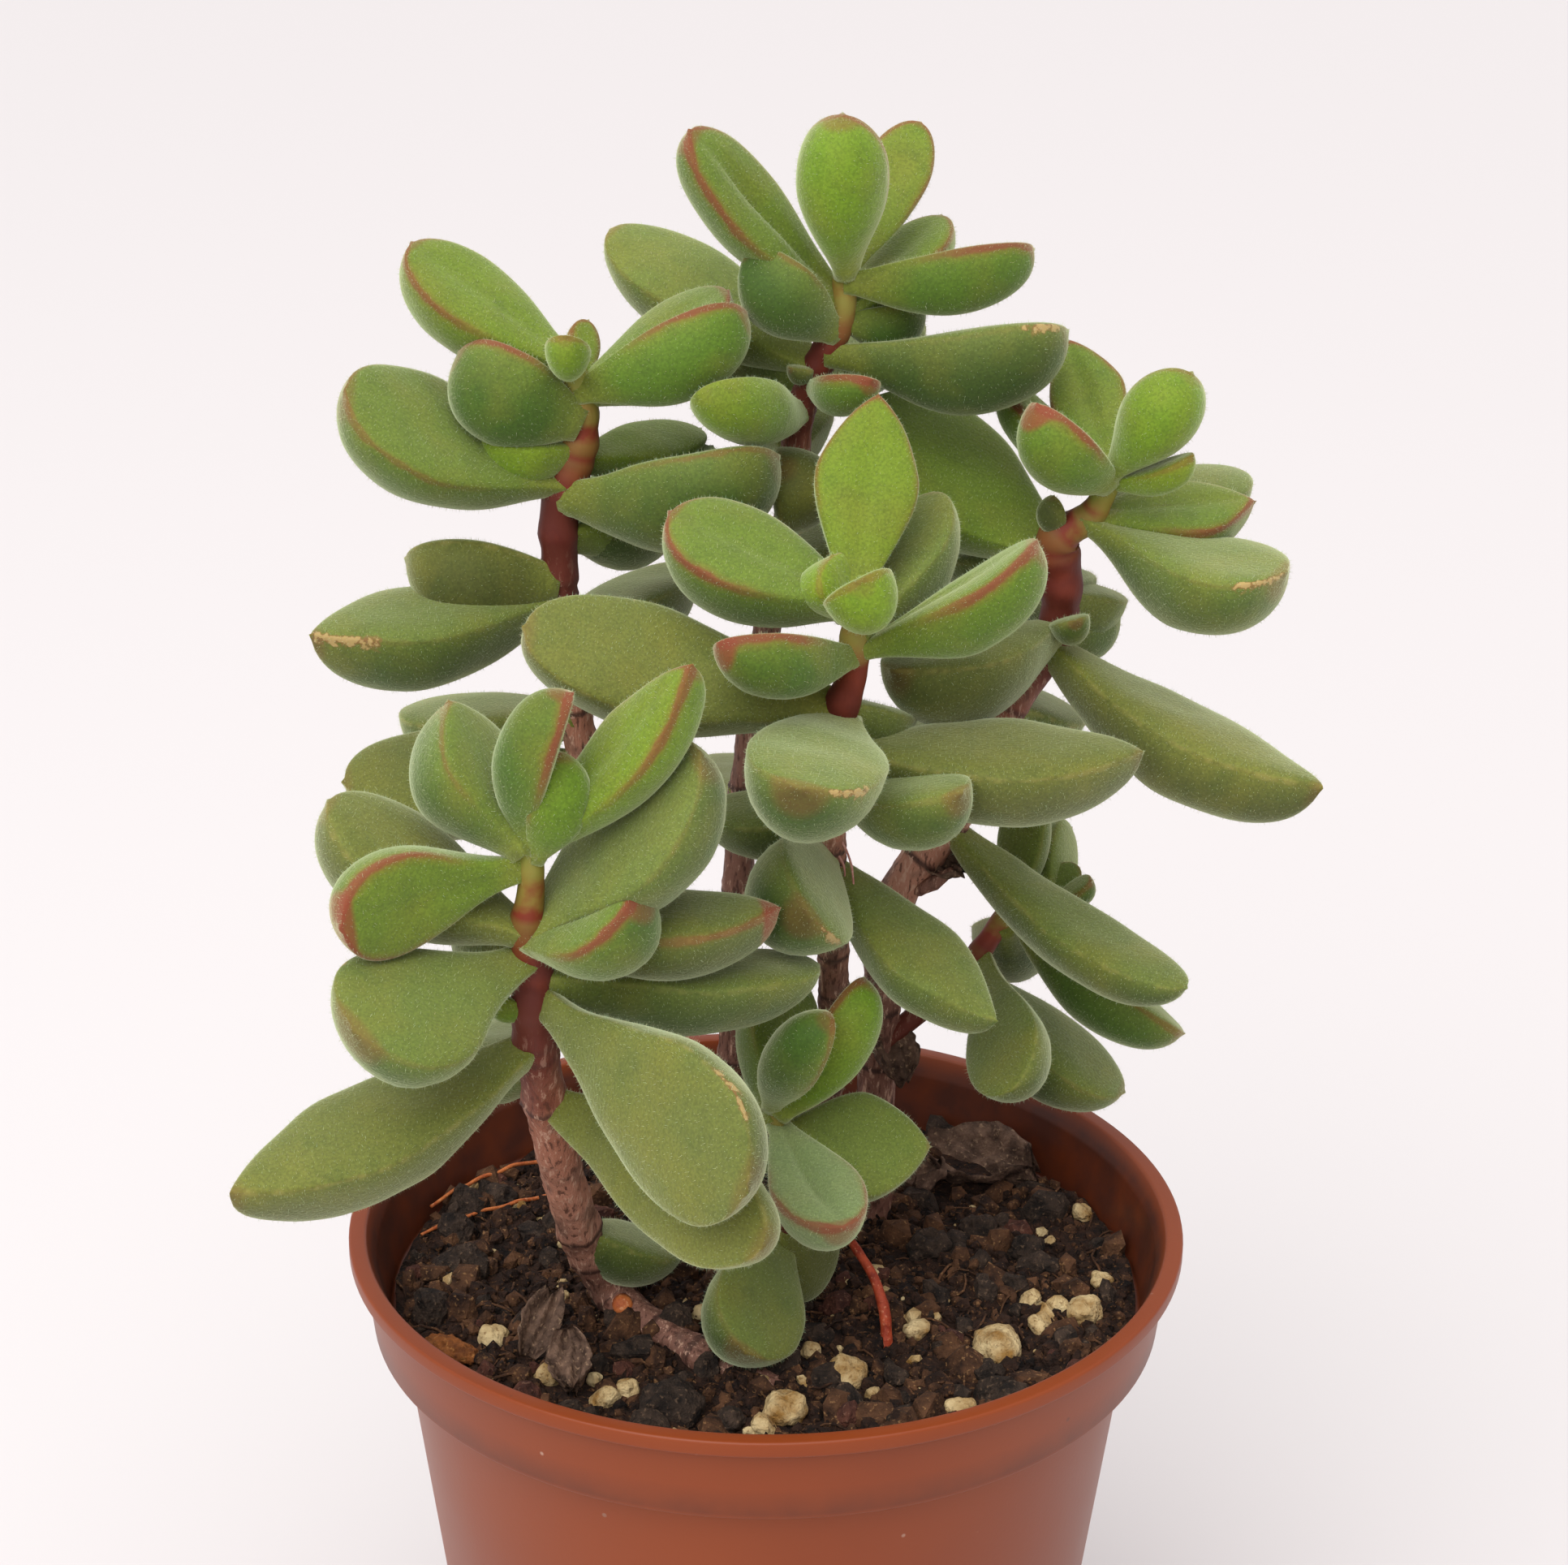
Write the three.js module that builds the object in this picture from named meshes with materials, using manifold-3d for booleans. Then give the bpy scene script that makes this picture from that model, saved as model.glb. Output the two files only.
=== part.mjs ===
// Potted crassula rogersii: leafy stems in peat and pumice in a round nursery pot.
// Millimetres, +Z up. The origin is the centre of the pot's underside, and the front is towards -Y.

import * as THREE from 'three';
import Module from 'manifold-3d';
import { mergeVertices } from 'three/addons/utils/BufferGeometryUtils.js';

const wasm = await Module();
wasm.setup();

// Driving dimensions: pot
const POT_HEIGHT = 75;
const LIP_RADIUS = 42.5;
const LIP_HEIGHT = 1.6;
const LIP_INNER_RADIUS = 40.8;
const COLLAR_TOP_RADIUS = 41.2;
const COLLAR_BOTTOM_RADIUS = 40.3;
const COLLAR_HEIGHT = 9.6;
const COLLAR_STEP = 1.1;
const LIP_BEVEL = 0.3;
const LIP_SLOPE = 0.6;
const WALL = 1.4;
const BASE_FILLET = 0.2;
const BODY_TOP_RADIUS = 37.6;
const BASE_RADIUS = 29.4;
const FOOT_RING = 2.2;
const FOOT_RECESS = 1.2;
const CENTRE_PAD = 6;
const DRAIN_RADIUS = 3;
const DRAIN_CIRCLE = 17;
const DRAIN_COUNT = 4;
const DRAIN_CUT = 8;
const DRAIN_SIDES = 10;
const POT_SIDES = 32;

// Driving dimensions: soil
const GAP = 0.3;
const SOIL_LEVEL = 67.2;
const SOIL_RELIEF = 0.7;
const SOIL_EDGE_RADIUS = 38.2;
const SOIL_SIDES = 30;
const SOIL_RINGS = 4;
const SIDE_ALLOWANCE = 0.15;

// Driving dimensions: plant
const STEM_SIDES = 6;
const STEM_STEP = 6.5;
const LEAF_THICKNESS = 0.72;
const LEAF_THICKEST = 8.4;
const LEAF_FORMS = {
  oval: { foot: 0.28, widest: 0.62, flare: 1.5, point: 2.1, blunt: 0.5, heel: 0.34, fill: 1.2 },
  spoon: { foot: 0.24, widest: 0.7, flare: 2.6, point: 2.2, blunt: 0.5, heel: 0.26, fill: 1.9 },
  pointed: { foot: 0.28, widest: 0.58, flare: 1.4, point: 1.6, blunt: 0.85, heel: 0.34, fill: 1.2 },
  round: { foot: 0.34, widest: 0.56, flare: 1.2, point: 2.2, blunt: 0.48, heel: 0.4, fill: 1 },
};
const LEAF_ROOT = 0.4;
const WITHERED_THICKNESS = 0.9;

// Section of a leaf as shares of half width and thickness: a flat upper face and a round back
const LEAF_SECTION = [
  [1, 0],
  [0, 0.13],
  [-1, 0],
  [-0.75, -0.58],
  [0, -0.87],
  [0.75, -0.58],
];
const LEAF_STATIONS = [0, 0.26, 0.52, 0.77, 0.93];

// Driving dimensions: stones and litter
const STONE_LIFT = 0.25;
const HOLLOW_SLACK = 1.15;
const HOLLOW_FLARE = 0.2;
const LITTER_ROUGHNESS = 0.15;
const THREAD_SIDES = 5;

const SOIL_COLOUR = 0x2a211d;
const POT_COLOUR = 0xa85a41;
const LEAF_COLOUR = 0x6f9a45;
const PUMICE_COLOUR = 0xcdbd9c;
const LAVA_COLOUR = 0x3b3433;
const DRY_COLOUR = 0x6b5346;
const BARK_COLOUR = 0x7a4a26;
const ROOT_COLOUR = 0x9a5a3c;

// A stem is a list of [x, y, z, radius]. A leaf is
// [height on the stem, heading, rise, length, width, roll, bend, form], in millimetres and degrees:
// heading 0 is +X and 90 is +Y, rise is above the level, roll turns the leaf about its length,
// bend is the arc that the leaf curls through, upwards when it is positive, and form is oval
// where none is given.
const SHOOTS = [
  {
    name: 'crown_shoot',
    stem: [
      [-4, 12.5, 53, 1.8],
      [-4, 12.5, 68, 1.8],
      [-3.5, 13, 88, 1.7],
      [-2.8, 13, 114, 1.5],
      [-0.8, 13, 131, 1.4],
      [1.6, 12, 145, 1.4],
      [3, 11, 157.5, 1.35],
      [4.4, 10, 161, 1.35],
      [6.2, 9, 165, 1.25],
      [6.9, 8, 170.5, 1],
    ],
    leaves: [
      [170.5, 261, 76, 15.5, 8.8, -8, 0],
      [170.5, 63, 36, 19.8, 6.6, 29, 8],
      [167.5, 196, 48, 22.2, 8.4, -48, 3],
      [170.1, 9, 7, 18.1, 7.7, -31, 11],
      [167, 55, 20, 18.2, 7.6, -3, 9],
      [164.8, 199, 45, 12.1, 8.5, 23, 7, 'pointed'],
      [166, 40, -5, 10, 6, -25, 0],
      [161, 152, 25, 25.4, 10.4, -18, -6],
      [159.6, 59, 6, 20.5, 7.3, 4, 8],
      [162.8, 0, 5, 22.8, 11, -20, 12, 'spoon'],
      [161, 120, -8, 19, 9, 30, 10],
      [156.5, 235, 16, 17.3, 6.9, 42, 8],
      [159.2, 304, 13, 10.5, 5.2, -20, 10],
      [152, 95, 12, 20, 10, 0, 10],
      [140, 60, 10, 22, 11, 0, 10],
      [144.8, 259, 50, 9.2, 8.6, 98, 7, 'round'],
      [129, 150, -5, 20, 10, 0, 10],
      [117, 95, -12, 22, 11, 0, 10],
    ],
    withered: [],
  },
  {
    name: 'left_shoot',
    stem: [
      [-9.5, 13.5, 53, 1.7],
      [-9.5, 13.5, 68, 1.7],
      [-10, 14, 86, 1.6],
      [-12.5, 14, 95, 1.6],
      [-17.2, 12, 114, 1.6],
      [-20, 10, 128, 1.8],
      [-20.7, 7, 138.5, 1.8],
      [-20.4, 6, 142.5, 1.75],
      [-20.2, 5, 148.5, 1.8],
      [-18.3, 4.5, 154.5, 1.75],
      [-18, 4, 158.5, 1.5],
      [-18.6, 3, 162.5, 1],
    ],
    leaves: [
      [162.5, 162, 33, 19, 10.1, -16, 8],
      [160.2, 4, 24, 17.3, 8.7, -45, 9],
      [160.1, 14, 31, 16.8, 10.5, 10, 3],
      [157.5, 180, 29, 12.8, 10.7, 42, 8, 'round'],
      [162.2, 268, 36, 7.1, 4.3, -3, 10],
      [160.5, 83, 36, 7.9, 3.5, 41, 0],
      [152.9, 55, -3, 20.1, 6.5, 19, 1],
      [154.7, 192, 5, 9.3, 6.8, -3, 4, 'round'],
      [151.4, 198, 25, 22.9, 14, -32, 14],
      [150.1, 354, 11, 21, 13.1, -28, 14],
      [145.7, 44, 14, 20.6, 11.7, 8, 4],
      [141.1, 181, 6, 14.8, 10.3, 37, -8, 'round'],
      [151.8, 59, -31, 18.1, 10.1, 10, 0],
      [139.2, 207, -2, 25.1, 12.1, -7, 1, 'pointed'],
      [135.5, 59, 2, 21.8, 9.9, -8, 10],
      [126, 150, -10, 21, 11, 0, 10],
      [119.7, 192, -1, 24.4, 12.7, -25, 0],
    ],
    withered: [],
  },
  {
    name: 'centre_shoot',
    stem: [
      [5, 6, 53, 1.8],
      [5, 6, 68, 1.8],
      [5.8, 5, 83, 1.6],
      [6.6, 2, 99, 1.5],
      [5.9, -3, 116, 1.5],
      [6, -7, 126, 1.4],
      [6.6, -10, 133, 1.5],
      [7.6, -11, 137, 1.4],
      [7.8, -12, 141.5, 1.2],
      [7.6, -12, 145, 0.8],
    ],
    leaves: [
      [145, 78, 56, 19.3, 9.7, 16, 3, 'pointed'],
      [144.5, 164, 21, 18.8, 11.4, -19, 6],
      [143.2, 160, 67, 5.7, 7.8, -11, 0, 'round'],
      [144.7, 273, 29, 7.6, 6.9, 26, 5, 'round'],
      [141.1, 64, 28, 19.5, 9.3, -17, 7],
      [140, 357, 33, 19.2, 9.3, -3, 16, 'spoon'],
      [139.6, 211, 12, 14.7, 7.4, 32, 6],
      [132.5, 260, 2, 21.3, 12.9, -11, 6, 'round'],
      [129.2, 0, -1, 28.8, 13, 6, 6, 'pointed'],
      [133.5, 192, 18, 30.8, 12.3, -41, 6],
      [134, 67, -23, 14, 8, 5, 0],
      [124.8, 315, 12, 16.8, 9.3, 6, 4],
      [116.8, 264, 2, 17.7, 11.5, -54, 7],
      [120, 144, -7, 15, 8, -10, 0],
      [115.4, 320, -28, 23.3, 9.4, 4, 7, 'pointed'],
    ],
    withered: [],
  },
  {
    name: 'right_shoot',
    stem: [
      [11.2, 13.5, 53, 2.2],
      [11.2, 13.5, 68, 2.2],
      [11.4, 13, 79, 2],
      [11.7, 12, 92, 1.9],
      [12.5, 11, 104, 1.9],
      [14.3, 11, 108, 1.9],
      [18.3, 11, 114, 1.9],
      [23.6, 10, 126, 1.7],
      [28, 9, 134.5, 1.7],
      [28.3, 8, 141, 1.9],
      [27.8, 7, 145, 1.9],
      [30.7, 6, 147.5, 1.3],
      [32.4, 4, 152.5, 0.9],
    ],
    leaves: [
      [152.5, 104, 33, 17.2, 7.5, -26, 9, 'pointed'],
      [152.5, 338, 55, 12.3, 7.5, -65, -2],
      [151.9, 208, 43, 11.6, 8.1, 4, 9, 'round'],
      [150.9, 131, 29, 15.9, 6.4, 17, 2],
      [151.2, 330, 24, 9.2, 4.1, 7, 9],
      [147.5, 10, 3, 16.4, 8.9, 20, -1, 'pointed'],
      [147.7, 35, 4, 19.5, 9.8, 6, 4],
      [147.4, 334, -8, 19.8, 13.6, 2, 25, 'spoon'],
      [145.1, 230, 76, 4.4, 3.3, -22, 0],
      [143.4, 153, 31, 24.2, 15.5, -21, 0],
      [143, 127, -8, 18, 9, -15, 0],
      [140, 92, -12, 20, 10, 0, 10],
      [139.1, 68, -15, 12.6, 9.1, 9, 0],
      [136.1, 220, -1, 22, 11.5, 5, 5],
      [135.9, 279, 18, 6.7, 3.9, 14, 0],
      [135, 63, -8, 12, 7, -15, 0],
      [133.8, 326, -17, 30.8, 11.7, -5, 15, 'pointed'],
      [127, 60, -17, 15, 8, 20, 0],
      [122, 110, -8, 20, 10, 0, 10],
      [114, 322, -20, 30.3, 8.4, -1, 21],
    ],
    withered: [
      [110, 330, -10, 5, 3.5, 30, 40],
      [92, 300, -50, 8, 5, 0, 60],
    ],
    branch: {
      stem: [
        [11.6, 12, 88, 1.1],
        [20.5, 12, 97, 1.1],
        [22.5, 12, 100, 1.1],
        [24.5, 12, 103, 1.1],
        [27.5, 12.5, 104, 0.9],
        [30, 13, 105, 0.7],
      ],
      leaves: [
        [98.9, 276, -17, 20.5, 9, 45, 6, 'spoon'],
        [97.2, 347, -36, 20.9, 10.5, 6, 7],
        [103.6, 337, -30, 20.8, 8.6, -20, 5],
        [103, 66, 67, 13.3, 5.8, -20, 4],
        [104.6, 74, 19, 11.6, 6.4, 72, 0],
        [104.7, 332, 35, 5, 3.5, 20, 0],
        [104.7, 60, 30, 5, 3.5, 0, 0],
        [103, 80, -30, 18, 9, 0, 5],
      ],
    },
  },
  {
    name: 'front_shoot',
    stem: [
      [6.5, -21.5, 61, 1.5],
      [2.6, -20.7, 65.6, 1.6],
      [-1.7, -18.6, 66.6, 1.7],
      [-7.4, -14.2, 67.2, 1.7],
      [-11.6, -10.4, 67.8, 1.7],
      [-15.5, -6.8, 69.5, 2],
      [-17.9, -9, 76, 2.05],
      [-19.2, -13.5, 84, 2.1],
      [-20.1, -18, 93, 2.1],
      [-21, -22, 102, 2],
      [-21.4, -24, 108.5, 1.8],
      [-21, -25, 113, 1.6],
      [-21.4, -26, 118, 1.45],
      [-20.9, -27, 122.5, 1.2],
      [-20.7, -28, 126.5, 0.8],
    ],
    leaves: [
      [126.5, 345, 74, 15.3, 7.6, -165, 18],
      [125.6, 355, 76, 10.1, 6.4, -24, 11],
      [126.5, 2, 50, 22, 8.4, 27, 4, 'pointed'],
      [126.5, 143, 51, 14.9, 11.8, 15, 0, 'pointed'],
      [124.4, 213, -5, 18.5, 9.9, -94, 19, 'spoon'],
      [117, 332, 30, 13, 10.6, 25, 13, 'round'],
      [117.9, -2, 48, 23, 14.8, 24, 8],
      [117.9, 177, 34, 21, 11.8, -12, 7],
      [118.6, 12, -1, 23, 9.9, 5, 4, 'pointed'],
      [115.5, 114, -10, 15, 8, 40, 0],
      [115.1, 231, 1, 21.5, 13.8, -28, 6, 'spoon'],
      [113.2, 20, -7, 27.6, 9.6, 2, 7],
      [110.4, 311, -14, 31.1, 14.4, 77, -2, 'spoon'],
      [105.6, 218, -10, 31.9, 11.4, -12, 8, 'pointed'],
      [104, 120, -15, 20, 10, 0, 10],
      [97.8, 312, -5, 30.5, 10.7, 61, 13],
      [78.8, 36, -28, 13.1, 7.8, 6, 3],
    ],
    withered: [],
  },
  {
    name: 'sprout',
    stem: [
      [1.3, 1, 53, 1],
      [1.4, -1, 66, 1],
      [1.6, -5, 72, 1],
      [1.8, -9.5, 80, 1],
      [1.5, -12, 88, 0.9],
      [1, -13, 94, 0.7],
    ],
    leaves: [
      [93.7, 308, 55, 14.9, 6.5, -111, 17],
      [93.3, 15, 57, 15.5, 7, -50, 12],
      [92, 85, 36, 17, 9, 45, 0],
      [89.8, 12, -9, 15.3, 11.2, 38, 0, 'pointed'],
      [91.6, 290, -7, 17.7, 8.8, 4, 6],
      [79.2, 46, -57, 11.8, 9, 84, 0],
      [76.6, 257, -14, 16.3, 10.5, -42, -3],
      [88, 150, 5, 13, 8, 0, 10],
    ],
    withered: [],
  },
];

// Stones: [x, y, radius, height over width]. One above this radius has the finer form
const FINE_STONE = 1.95;
const PUMICE = [
  [-26.9, -12.8, 1.8, 0.9],
  [-21.2, -20.2, 1.5, 0.9],
  [-16.5, -20.6, 1.1, 0.9],
  [-13.2, -22, 1.6, 0.9],
  [34, 13.5, 1.8, 0.7],
  [34.6, -0.5, 1.5, 0.8],
  [32.2, -8, 2, 0.9],
  [27.4, -9.7, 1.7, 0.75],
  [23, -13.9, 2.8, 0.75],
  [15.2, -10.6, 1.7, 0.65],
  [7.9, -18.4, 2.1, 0.85],
  [4.6, -15.2, 1.1, 0.8],
  [18.8, -24.6, 1.7, 0.6],
  [2, -25.6, 2.2, 0.75],
];
const LAVA = [
  [-8.8, -25, 3.3, 0.75],
  [-3.4, -27.5, 1.8, 0.8],
  [17, 5.5, 2.4, 0.8],
  [22.6, 9.5, 2.2, 0.8],
  [27.4, 5.5, 2.2, 0.8],
  [22, -19.2, 1.9, 0.8],
  [-29, 15.5, 2.1, 0.7],
  [12.8, -19, 1.7, 0.8],
];

// Dry leaves on the soil: [x, y, height over the soil, heading, rise, length, width, roll, bend]
const DRY_LEAVES = [
  [16.5, 27, 0.9, -28, 4, 15, 9, 12, 50],
  [15.5, 16.8, 0.6, 60, 6, 7, 5, -15, 40],
  [-23.2, -16.8, 0.6, 70, 35, 7, 4, 20, -50],
  [-18.3, -24, 0.7, 100, 30, 7, 4.5, -10, 40],
];

const RED_STALK = [
  [12.2, -13.6, 60, 0.6],
  [12.1, -13.4, 66, 0.6],
  [12, -12, 70, 0.6],
  [10.8, -9.8, 73, 0.5],
  [8.6, -7, 75.5, 0.45],
];
const ROOTS = [
  [
    [-36, 12, 68.6, 0.4],
    [-31.5, 18, 68.8, 0.45],
    [-25, 22.5, 68.5, 0.45],
    [-20, 24, 67.5, 0.5],
  ],
  [
    [-36.5, 7, 68, 0.35],
    [-31.5, 11, 68.3, 0.4],
    [-24.5, 15.5, 68.1, 0.45],
    [-20.5, 18.5, 67.3, 0.45],
  ],
];
const BARK_CHIP = { x: -31, y: -15, heading: -35, length: 7, width: 3.4, height: 2 };

// Seeded random numbers between 0 and 1
function randomFrom(seed) {
  let state = seed;
  return () => {
    state = (state * 1664525 + 1013904223) % 4294967296;
    return state / 4294967296;
  };
}

// Solids and meshes
function geometryFromRings(rings, tip) {
  const sides = rings[0].length;
  const positions = rings.flat().flatMap((point) => [point.x, point.y, point.z]);
  const faces = [];
  for (let row = 0; row < rings.length - 1; row += 1) {
    for (let side = 0; side < sides; side += 1) {
      const next = (side + 1) % sides;
      const a = row * sides + side;
      const b = row * sides + next;
      faces.push(a, b, b + sides);
      faces.push(a, b + sides, a + sides);
    }
  }
  for (let side = 1; side < sides - 1; side += 1) {
    faces.push(0, side + 1, side);
  }
  const last = (rings.length - 1) * sides;
  if (tip) {
    positions.push(tip.x, tip.y, tip.z);
    for (let side = 0; side < sides; side += 1) {
      faces.push(last + side, last + ((side + 1) % sides), last + sides);
    }
  } else {
    for (let side = 1; side < sides - 1; side += 1) {
      faces.push(last, last + side, last + side + 1);
    }
  }
  const geometry = new THREE.BufferGeometry();
  geometry.setAttribute('position', new THREE.Float32BufferAttribute(positions, 3));
  geometry.setIndex(faces);
  return geometry;
}

function solidFrom(source) {
  const bare = source.clone();
  bare.deleteAttribute('normal');
  bare.deleteAttribute('uv');
  const merged = mergeVertices(bare, 1e-4);
  const mesh = new wasm.Mesh({
    numProp: 3,
    vertProperties: new Float32Array(merged.attributes.position.array),
    triVerts: new Uint32Array(merged.index.array),
  });
  return new wasm.Manifold(mesh);
}

function geometryFrom(solid) {
  const mesh = solid.getMesh();
  const geometry = new THREE.BufferGeometry();
  geometry.setAttribute('position', new THREE.BufferAttribute(mesh.vertProperties, 3));
  geometry.setIndex(new THREE.BufferAttribute(mesh.triVerts, 1));
  return geometry;
}

function meshNamed(name, geometry, colour, roughness) {
  const material = new THREE.MeshStandardMaterial({ color: colour, roughness, metalness: 0 });
  const mesh = new THREE.Mesh(geometry, material);
  mesh.name = name;
  return mesh;
}

// Stems
function stemCurve(stem) {
  const points = stem.map(([x, y, z]) => new THREE.Vector3(x, y, z));
  return new THREE.CatmullRomCurve3(points, false, 'centripetal');
}

function radiusAlong(stem, share) {
  const place = share * (stem.length - 1);
  const index = Math.min(Math.floor(place), stem.length - 2);
  return THREE.MathUtils.lerp(stem[index][3], stem[index + 1][3], place - index);
}

function stemGeometry(stem, sides = STEM_SIDES, extra = 0) {
  const curve = stemCurve(stem);
  const steps = Math.max(4, Math.round(curve.getLength() / STEM_STEP));
  let across = new THREE.Vector3(1, 0, 0);
  const rings = [];
  for (let step = 0; step <= steps; step += 1) {
    const share = step / steps;
    const centre = curve.getPoint(share);
    const along = curve.getTangent(share);
    across = across.clone().addScaledVector(along, -across.dot(along)).normalize();
    const third = along.clone().cross(across);
    const radius = radiusAlong(stem, share) + extra;
    const ring = [];
    for (let side = 0; side < sides; side += 1) {
      const angle = (2 * Math.PI * side) / sides;
      const offset = across.clone().multiplyScalar(radius * Math.cos(angle));
      offset.addScaledVector(third, radius * Math.sin(angle));
      ring.push(centre.clone().add(offset));
    }
    rings.push(ring);
  }
  return geometryFromRings(rings);
}

function pointAtHeight(stem, height) {
  const curve = stemCurve(stem);
  const samples = 200;
  let best = curve.getPoint(1);
  for (let index = samples; index >= 0; index -= 1) {
    const point = curve.getPoint(index / samples);
    if (Math.abs(point.z - height) < Math.abs(best.z - height)) {
      best = point;
    }
  }
  return best;
}

// Leaves
function leafHalfWidth(share, form) {
  const { foot, widest, flare, point, blunt } = LEAF_FORMS[form];
  if (share < widest) {
    const swell = Math.sin((share / widest) * (Math.PI / 2)) ** flare;
    return foot + (1 - foot) * swell;
  }
  const beyond = (share - widest) / (1 - widest);
  return (1 - beyond ** point) ** blunt;
}

function leafFullness(share, form) {
  const { heel, fill } = LEAF_FORMS[form];
  if (share < 0.55) {
    return heel + (1 - heel) * Math.sin((share / 0.55) * (Math.PI / 2)) ** fill;
  }
  const beyond = (share - 0.55) / 0.45;
  return Math.sqrt(1 - beyond ** 2.4);
}

function leafGeometry(base, heading, rise, length, width, roll, bend, form, thickness) {
  const yaw = THREE.MathUtils.degToRad(heading);
  const pitch = THREE.MathUtils.degToRad(rise);
  const turn = THREE.MathUtils.degToRad(roll);
  const arc = THREE.MathUtils.degToRad(bend === 0 ? 0.5 : bend);
  const flat = Math.cos(pitch);
  const chord = new THREE.Vector3(Math.cos(yaw) * flat, Math.sin(yaw) * flat, Math.sin(pitch));
  const level = new THREE.Vector3(-Math.sin(yaw), Math.cos(yaw), 0);
  const upright = chord.clone().cross(level);
  const side = level.clone().multiplyScalar(Math.cos(turn)).addScaledVector(upright, Math.sin(turn));
  const up = chord.clone().cross(side);
  const arcRadius = length / (2 * Math.sin(arc / 2));
  const rings = [];
  for (const share of LEAF_STATIONS) {
    const angle = arc * (share - 0.5);
    const along = arcRadius * (Math.sin(angle) + Math.sin(arc / 2));
    const sag = -arcRadius * (Math.cos(angle) - Math.cos(arc / 2));
    const tangent = chord.clone().multiplyScalar(Math.cos(angle)).addScaledVector(up, Math.sin(angle));
    const normal = up.clone().multiplyScalar(Math.cos(angle)).addScaledVector(chord, -Math.sin(angle));
    const centre = base.clone().addScaledVector(chord, along).addScaledVector(up, sag);
    if (share === 0) {
      centre.addScaledVector(tangent, -LEAF_ROOT);
    }
    const half = (width / 2) * leafHalfWidth(share, form);
    const full = thickness * leafFullness(share, form);
    const ring = LEAF_SECTION.map(([across, rising]) =>
      centre.clone().addScaledVector(side, half * across).addScaledVector(normal, full * rising));
    rings.push(ring);
  }
  const tip = base.clone().addScaledVector(chord, length);
  return geometryFromRings(rings, tip);
}

function leavesOn(stem, rows, thicknessOf) {
  return rows.map(([height, heading, rise, length, width, roll, bend, form = 'oval']) => {
    const base = pointAtHeight(stem, height);
    return leafGeometry(base, heading, rise, length, width, roll, bend, form, thicknessOf(width));
  });
}

function shootSolid(shoot) {
  const parts = [stemGeometry(shoot.stem)];
  const fresh = (width) => Math.min(width * LEAF_THICKNESS, LEAF_THICKEST);
  const withered = () => WITHERED_THICKNESS;
  parts.push(...leavesOn(shoot.stem, shoot.leaves, fresh));
  parts.push(...leavesOn(shoot.stem, shoot.withered, withered));
  if (shoot.branch) {
    const { stem, leaves } = shoot.branch;
    parts.push(stemGeometry(stem));
    parts.push(...leavesOn(stem, leaves, fresh));
  }
  return parts.map(solidFrom).reduce((whole, part) => whole.add(part));
}

// Pot
function potSolid() {
  const collarBottom = POT_HEIGHT - COLLAR_HEIGHT;
  const lipBottom = POT_HEIGHT - LIP_HEIGHT;
  const stepTop = collarBottom + COLLAR_STEP;
  const points = [
    [0, 0],
    [CENTRE_PAD, 0],
    [CENTRE_PAD + FOOT_RECESS, FOOT_RECESS],
    [BASE_RADIUS - FOOT_RING, FOOT_RECESS],
    [BASE_RADIUS - FOOT_RING, 0],
    [BASE_RADIUS, 0],
    [BODY_TOP_RADIUS, collarBottom],
    [COLLAR_BOTTOM_RADIUS, collarBottom],
    [COLLAR_TOP_RADIUS, lipBottom],
    [LIP_RADIUS, lipBottom],
    [LIP_RADIUS, POT_HEIGHT - LIP_BEVEL],
    [LIP_RADIUS - LIP_BEVEL, POT_HEIGHT],
    [LIP_INNER_RADIUS, POT_HEIGHT],
    [COLLAR_TOP_RADIUS - WALL, lipBottom - LIP_SLOPE],
    [SOIL_EDGE_RADIUS + GAP, stepTop],
    [BODY_TOP_RADIUS - WALL, stepTop],
    [BASE_RADIUS - WALL + BASE_FILLET, FOOT_RECESS + WALL],
    [0, FOOT_RECESS + WALL],
  ].map(([radius, height]) => new THREE.Vector2(radius, height));
  const shell = new THREE.LatheGeometry(points, POT_SIDES);
  shell.rotateX(Math.PI / 2);
  let solid = solidFrom(shell);
  for (let hole = 0; hole < DRAIN_COUNT; hole += 1) {
    const angle = (2 * Math.PI * (hole + 0.5)) / DRAIN_COUNT;
    const cutter = new THREE.CylinderGeometry(DRAIN_RADIUS, DRAIN_RADIUS, DRAIN_CUT, DRAIN_SIDES);
    cutter.rotateX(Math.PI / 2);
    cutter.translate(DRAIN_CIRCLE * Math.cos(angle), DRAIN_CIRCLE * Math.sin(angle), FOOT_RECESS);
    solid = solid.subtract(solidFrom(cutter));
  }
  return solid;
}

// Stones, bark and soil
function soilHeight(x, y) {
  const coarse = Math.sin(x * 0.31 + 1.3) * Math.cos(y * 0.27 - 0.6);
  const fine = Math.sin(x * 0.93 + y * 0.41) * Math.sin(y * 0.83 - x * 0.29);
  return SOIL_LEVEL + SOIL_RELIEF * (0.6 * coarse + 0.4 * fine);
}

function roughBall(detail = 1) {
  return mergeVertices(new THREE.IcosahedronGeometry(1, detail).deleteAttribute('normal').deleteAttribute('uv'));
}

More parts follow.
